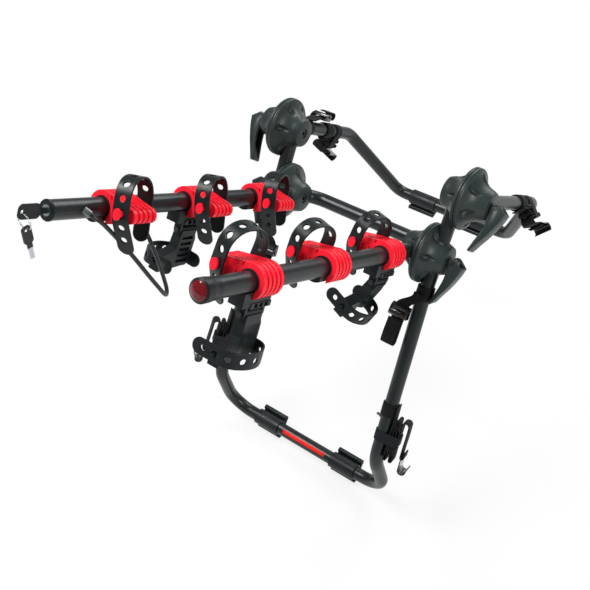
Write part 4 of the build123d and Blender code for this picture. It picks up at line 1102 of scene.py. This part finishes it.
def hollow_share(angle, radius, past):
    """Depth of the hollows, from 0 to 1, at an angle round the bell and a distance past their middle."""
    step = 2 * pi / SCALLOPS
    off = (angle % step) - step / 2
    reach = past / SCALLOP_REACH
    narrow = SCALLOP_HALF * (1 - SCALLOP_TAPER_SHARE * max(-1.0, min(1.0, reach)))
    return max(0.0, 1 - (off * radius / narrow) ** 2 - reach ** 2)


def hub_mesh(recess):
    """One bell about Z with its rim at height 0, in millimetres."""
    rim, bell, cap = hub_profile(recess)
    profile = [Vector(p) for p in rim + bell + cap]
    marks = distances(bell)
    middle = marks[-1] * SCALLOP_SHARE
    work = bmesh.new()
    rings = []
    for k, point in enumerate(profile):
        on_bell = k - len(rim)
        inward = Vector((0.0, 0.0))
        past = SCALLOP_REACH
        if 0 < on_bell < len(bell) - 1:
            way = (profile[k + 1] - profile[k - 1]).normalized()
            inward = Vector((-way.y, way.x)) * (-1 if way.y < 0 else 1)
            past = marks[on_bell] - middle
        ring = []
        for j in range(HUB_STEPS):
            angle = 2 * pi * j / HUB_STEPS
            spot = point + inward * SCALLOP_DEPTH * hollow_share(angle, point.x, past)
            ring.append(work.verts.new((spot.x * cos(angle), spot.x * sin(angle), spot.y)))
        rings.append(ring)
    for a, b in zip(rings, rings[1:]):
        for j in range(HUB_STEPS):
            n = (j + 1) % HUB_STEPS
            work.faces.new((a[j], a[n], b[n], b[j]))
    work.faces.new(tuple(reversed(rings[0])))
    work.faces.new(tuple(rings[-1]))
    return work


def hub_place(level, half, side, way):
    """Turns a point of a hub half's frame into the part's frame."""
    z = Vector((1.0 if half == "inner" else -1.0, 0.0, 0.0))
    y = z.cross(way)
    origin = Vector((-RIM_X[level], LINK_AXES[level].y, LINK_AXES[level].z))
    return lambda point: on_side(side, origin + way * point.x + y * point.y + z * point.z)


def add_hubs():
    for (level, half), way in HUB_WAYS.items():
        for side in SIDES:
            work = hub_mesh(half == "inner")
            to_world = hub_place(level, half, side, way)
            for vertex in work.verts:
                vertex.co = to_world(vertex.co) * MM
            name = level + "_hub_" + half + "_" + side
            stand_in(name, finish_mesh(work, name, HUB_SHARP))


# Cam levers: two ears with a web along their outer edge, drawn with the pivot at 0, 0
PIVOT_HEIGHT = 52.6
LEVER_OUTER = [(3.0, 18.2), (20.0, 13.6), (42.0, 4.6), (62.0, -5.6), (76.5, -12.8)]
LEVER_INNER = [(77.0, -17.0), (62.0, -13.4), (44.0, -8.8), (28.0, -6.0), (14.0, -6.4), (6.5, -7.1)]
LEVER_TIP = (79.0, -14.8)
LEVER_BACK = (-9.1, 3.2)
OUTER_STEPS = 7
INNER_STEPS = 6
WEB_TIP = [(78.8, -15.0), (76.6, -16.6)]
WEB_SHIFT = Vector((-1.4, -3.6))
CAM_R = 9.6
CAM_FROM = -58
CAM_SWEEP = -122
CAM_STEPS = 12
PIN_R = 3.55
EAR_T = 4.6
LEVER_W = 27.0
LEVER_EDGE = 0.9
LEVER_SHARP = 35
LEVER_TURNS = {"lower": 0.0, "upper": 12.0}


def smooth_line(points, count):
    """Catmull-Rom samples through points."""
    points = [Vector(p) for p in points]
    ends = [points[0] * 2 - points[1]] + points + [points[-1] * 2 - points[-2]]
    line = []
    for a, b, c, d in zip(ends, ends[1:], ends[2:], ends[3:]):
        for i in range(count):
            t = i / count
            line.append((b * 2 + (c - a) * t + (a * 2 - b * 5 + c * 4 - d) * t ** 2
                         + (b * 3 - a - c * 3 + d) * t ** 3) / 2)
    return line + [points[-1]]


def add_lever(level, side):
    outer = smooth_line(LEVER_OUTER, OUTER_STEPS)
    turns = [radians(CAM_FROM + CAM_SWEEP * i / CAM_STEPS) for i in range(CAM_STEPS + 1)]
    cam = [(CAM_R * cos(a), CAM_R * sin(a)) for a in turns]
    ear = outer + [LEVER_TIP] + smooth_line(LEVER_INNER, INNER_STEPS) + cam + [LEVER_BACK]
    web = outer + WEB_TIP + [p + WEB_SHIFT for p in reversed(outer)]
    between = LEVER_W - EAR_T
    parts = [(ear, [circle(0.0, 0.0, PIN_R)], EAR_T, y) for y in (-between / 2, between / 2)]
    parts.append((web, [], between, 0.0))
    turn = radians(LEVER_TURNS[level])
    to_world = hub_place(level, "outer", side, UP_LINK * -cos(turn) + ALONG_ARM * sin(turn))
    whole = bmesh.new()
    for outline, holes, thickness, shift in parts:
        flat = plate_mesh(outline, holes, thickness, LEVER_EDGE)
        for vertex in flat.vertices:
            u, v, w = vertex.co
            vertex.co = to_world(Vector((u, shift + w, PIVOT_HEIGHT + v))) * MM
        whole.from_mesh(flat)
    name = level + "_lever_" + side
    stand_in(name, finish_mesh(whole, name, LEVER_SHARP))


# Rubber pads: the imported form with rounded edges
def add_pads():
    for name in ("foot_pads", "trunk_pads"):
        mesh = NODES[name].data.copy()
        mesh.materials.clear()
        soften(stand_in(name, mesh), PAD_EDGE, segments=3, angle=40.0)


# Plain stripe on the bottom bar, where the photograph shows lettering
FOOT_TILT = radians(36.0)
BAR_DROP = 7.0
STRIPE_HALF = 52.0
STRIPE_LIFT = 0.15
STRIPE_T = 0.1
STRIPE_FROM = 118
STRIPE_SWEEP = 34
STRIPE_COLUMNS = 13
STRIPE_ROWS = 8


def add_stripe():
    bar = Vector((0.0, cos(FOOT_TILT), -sin(FOOT_TILT))) * -(FRAME_R + BAR_DROP)
    radius = FRAME_R + STRIPE_LIFT
    turns = [radians(STRIPE_FROM + STRIPE_SWEEP * j / STRIPE_ROWS) for j in range(STRIPE_ROWS + 1)]
    vertices = []
    for i in range(STRIPE_COLUMNS + 1):
        x = -STRIPE_HALF + 2 * STRIPE_HALF * i / STRIPE_COLUMNS
        vertices += [Vector((x, bar.y + radius * cos(a), bar.z + radius * sin(a))) * MM for a in turns]
    step = len(turns)
    corners = [i * step + j for i in range(STRIPE_COLUMNS) for j in range(STRIPE_ROWS)]
    mesh = bpy.data.meshes.new("bar_stripe")
    mesh.from_pydata(vertices, [], [(n, n + 1, n + step + 1, n + step) for n in corners])
    shade_smooth(mesh)
    piece = add_piece("bar_stripe", mesh, "stripe", "main_frame")
    thick = piece.modifiers.new("thick", "SOLIDIFY")
    thick.thickness = STRIPE_T * MM
    thick.offset = -1.0


# Studio, in metres and watts
FLOOR_DROP = 0.001
FLOOR_HALF = 9.0
FLOOR_GREY = (0.82, 0.82, 0.83, 1.0)
WHITE = (1.0, 1.0, 1.0, 1.0)
GLOW_FROM = 0.3
GLOW_TO = 0.9
GLOW_SHARES = (0.8, 1.0)
SKY_SEEN = 0.72
SKY_FILL = 0.28
LAMP_AIM = Vector((0.0, 0.0, 0.42))
LAMPS = {"key": ((-1.0, -0.8, 2.6), 1.1, 62.0), "side": ((2.2, -0.5, 1.6), 0.9, 30.0),
         "rim": ((0.1, 2.0, 2.0), 1.7, 36.0)}


def floor_material():
    """Pale floor that glows to plain white away from the rack, where the camera sees it."""
    material = bpy.data.materials.new("studio_floor")
    tree, surface = empty_tree(material)
    diffuse = tree.nodes.new("ShaderNodeBsdfDiffuse")
    diffuse.inputs["Color"].default_value = FLOOR_GREY
    glow = tree.nodes.new("ShaderNodeEmission")
    glow.inputs["Color"].default_value = WHITE
    path = tree.nodes.new("ShaderNodeLightPath")
    seen = maths(tree, "MAXIMUM", path.outputs["Is Camera Ray"], path.outputs["Is Glossy Ray"])
    far = tree.nodes.new("ShaderNodeVectorMath")
    far.operation = "LENGTH"
    tree.links.new(object_place(tree), far.inputs[0])
    glowing = remap(tree, far.outputs["Value"], *GLOW_SHARES, GLOW_FROM, GLOW_TO)
    mix = tree.nodes.new("ShaderNodeMixShader")
    fill(tree, mix, {0: maths(tree, "MULTIPLY", seen, glowing), 1: diffuse.outputs["BSDF"],
                     2: glow.outputs["Emission"]})
    tree.links.new(mix.outputs["Shader"], surface)
    return material


def add_floor():
    z = CAD_BOX[0][2] - FLOOR_DROP
    mesh = bpy.data.meshes.new("floor")
    corners = [(x * FLOOR_HALF, y * FLOOR_HALF, z) for x, y in ((-1, -1), (1, -1), (1, 1), (-1, 1))]
    mesh.from_pydata(corners, [], [(0, 1, 2, 3)])
    mesh.materials.append(floor_material())
    new_object("floor", mesh)


def add_sky():
    world = bpy.data.worlds.new("studio")
    bpy.context.scene.world = world
    tree, surface = empty_tree(world, "ShaderNodeOutputWorld")
    back = tree.nodes.new("ShaderNodeBackground")
    path = tree.nodes.new("ShaderNodeLightPath")
    seen = maths(tree, "MULTIPLY", path.outputs["Is Camera Ray"], SKY_SEEN)
    fill(tree, back, {"Color": WHITE, "Strength": maths(tree, "ADD", seen, SKY_FILL)})
    tree.links.new(back.outputs["Background"], surface)


def add_lamps():
    for name, (spot, size, power) in LAMPS.items():
        data = bpy.data.lights.new(name, "AREA")
        data.shape = "DISK"
        data.size = size
        data.energy = power
        aim = (LAMP_AIM - Vector(spot)).to_track_quat("-Z", "Y").to_matrix().to_4x4()
        new_object(name, data).matrix_world = Matrix.Translation(spot) @ aim


add_camera()
add_cable()
dress_nodes()
soften_nodes()
add_webbing()
for cradle_name in HEIGHTS_LEANS:
    add_cradle_strap(cradle_name)
for holder_name in SWINGS:
    add_holder_strap(holder_name)
add_hubs()
for lever_level in LEVER_TURNS:
    for lever_side in SIDES:
        add_lever(lever_level, lever_side)
add_pads()
add_stripe()
add_floor()
add_sky()
add_lamps()
bpy.context.scene.view_settings.view_transform = "Standard"
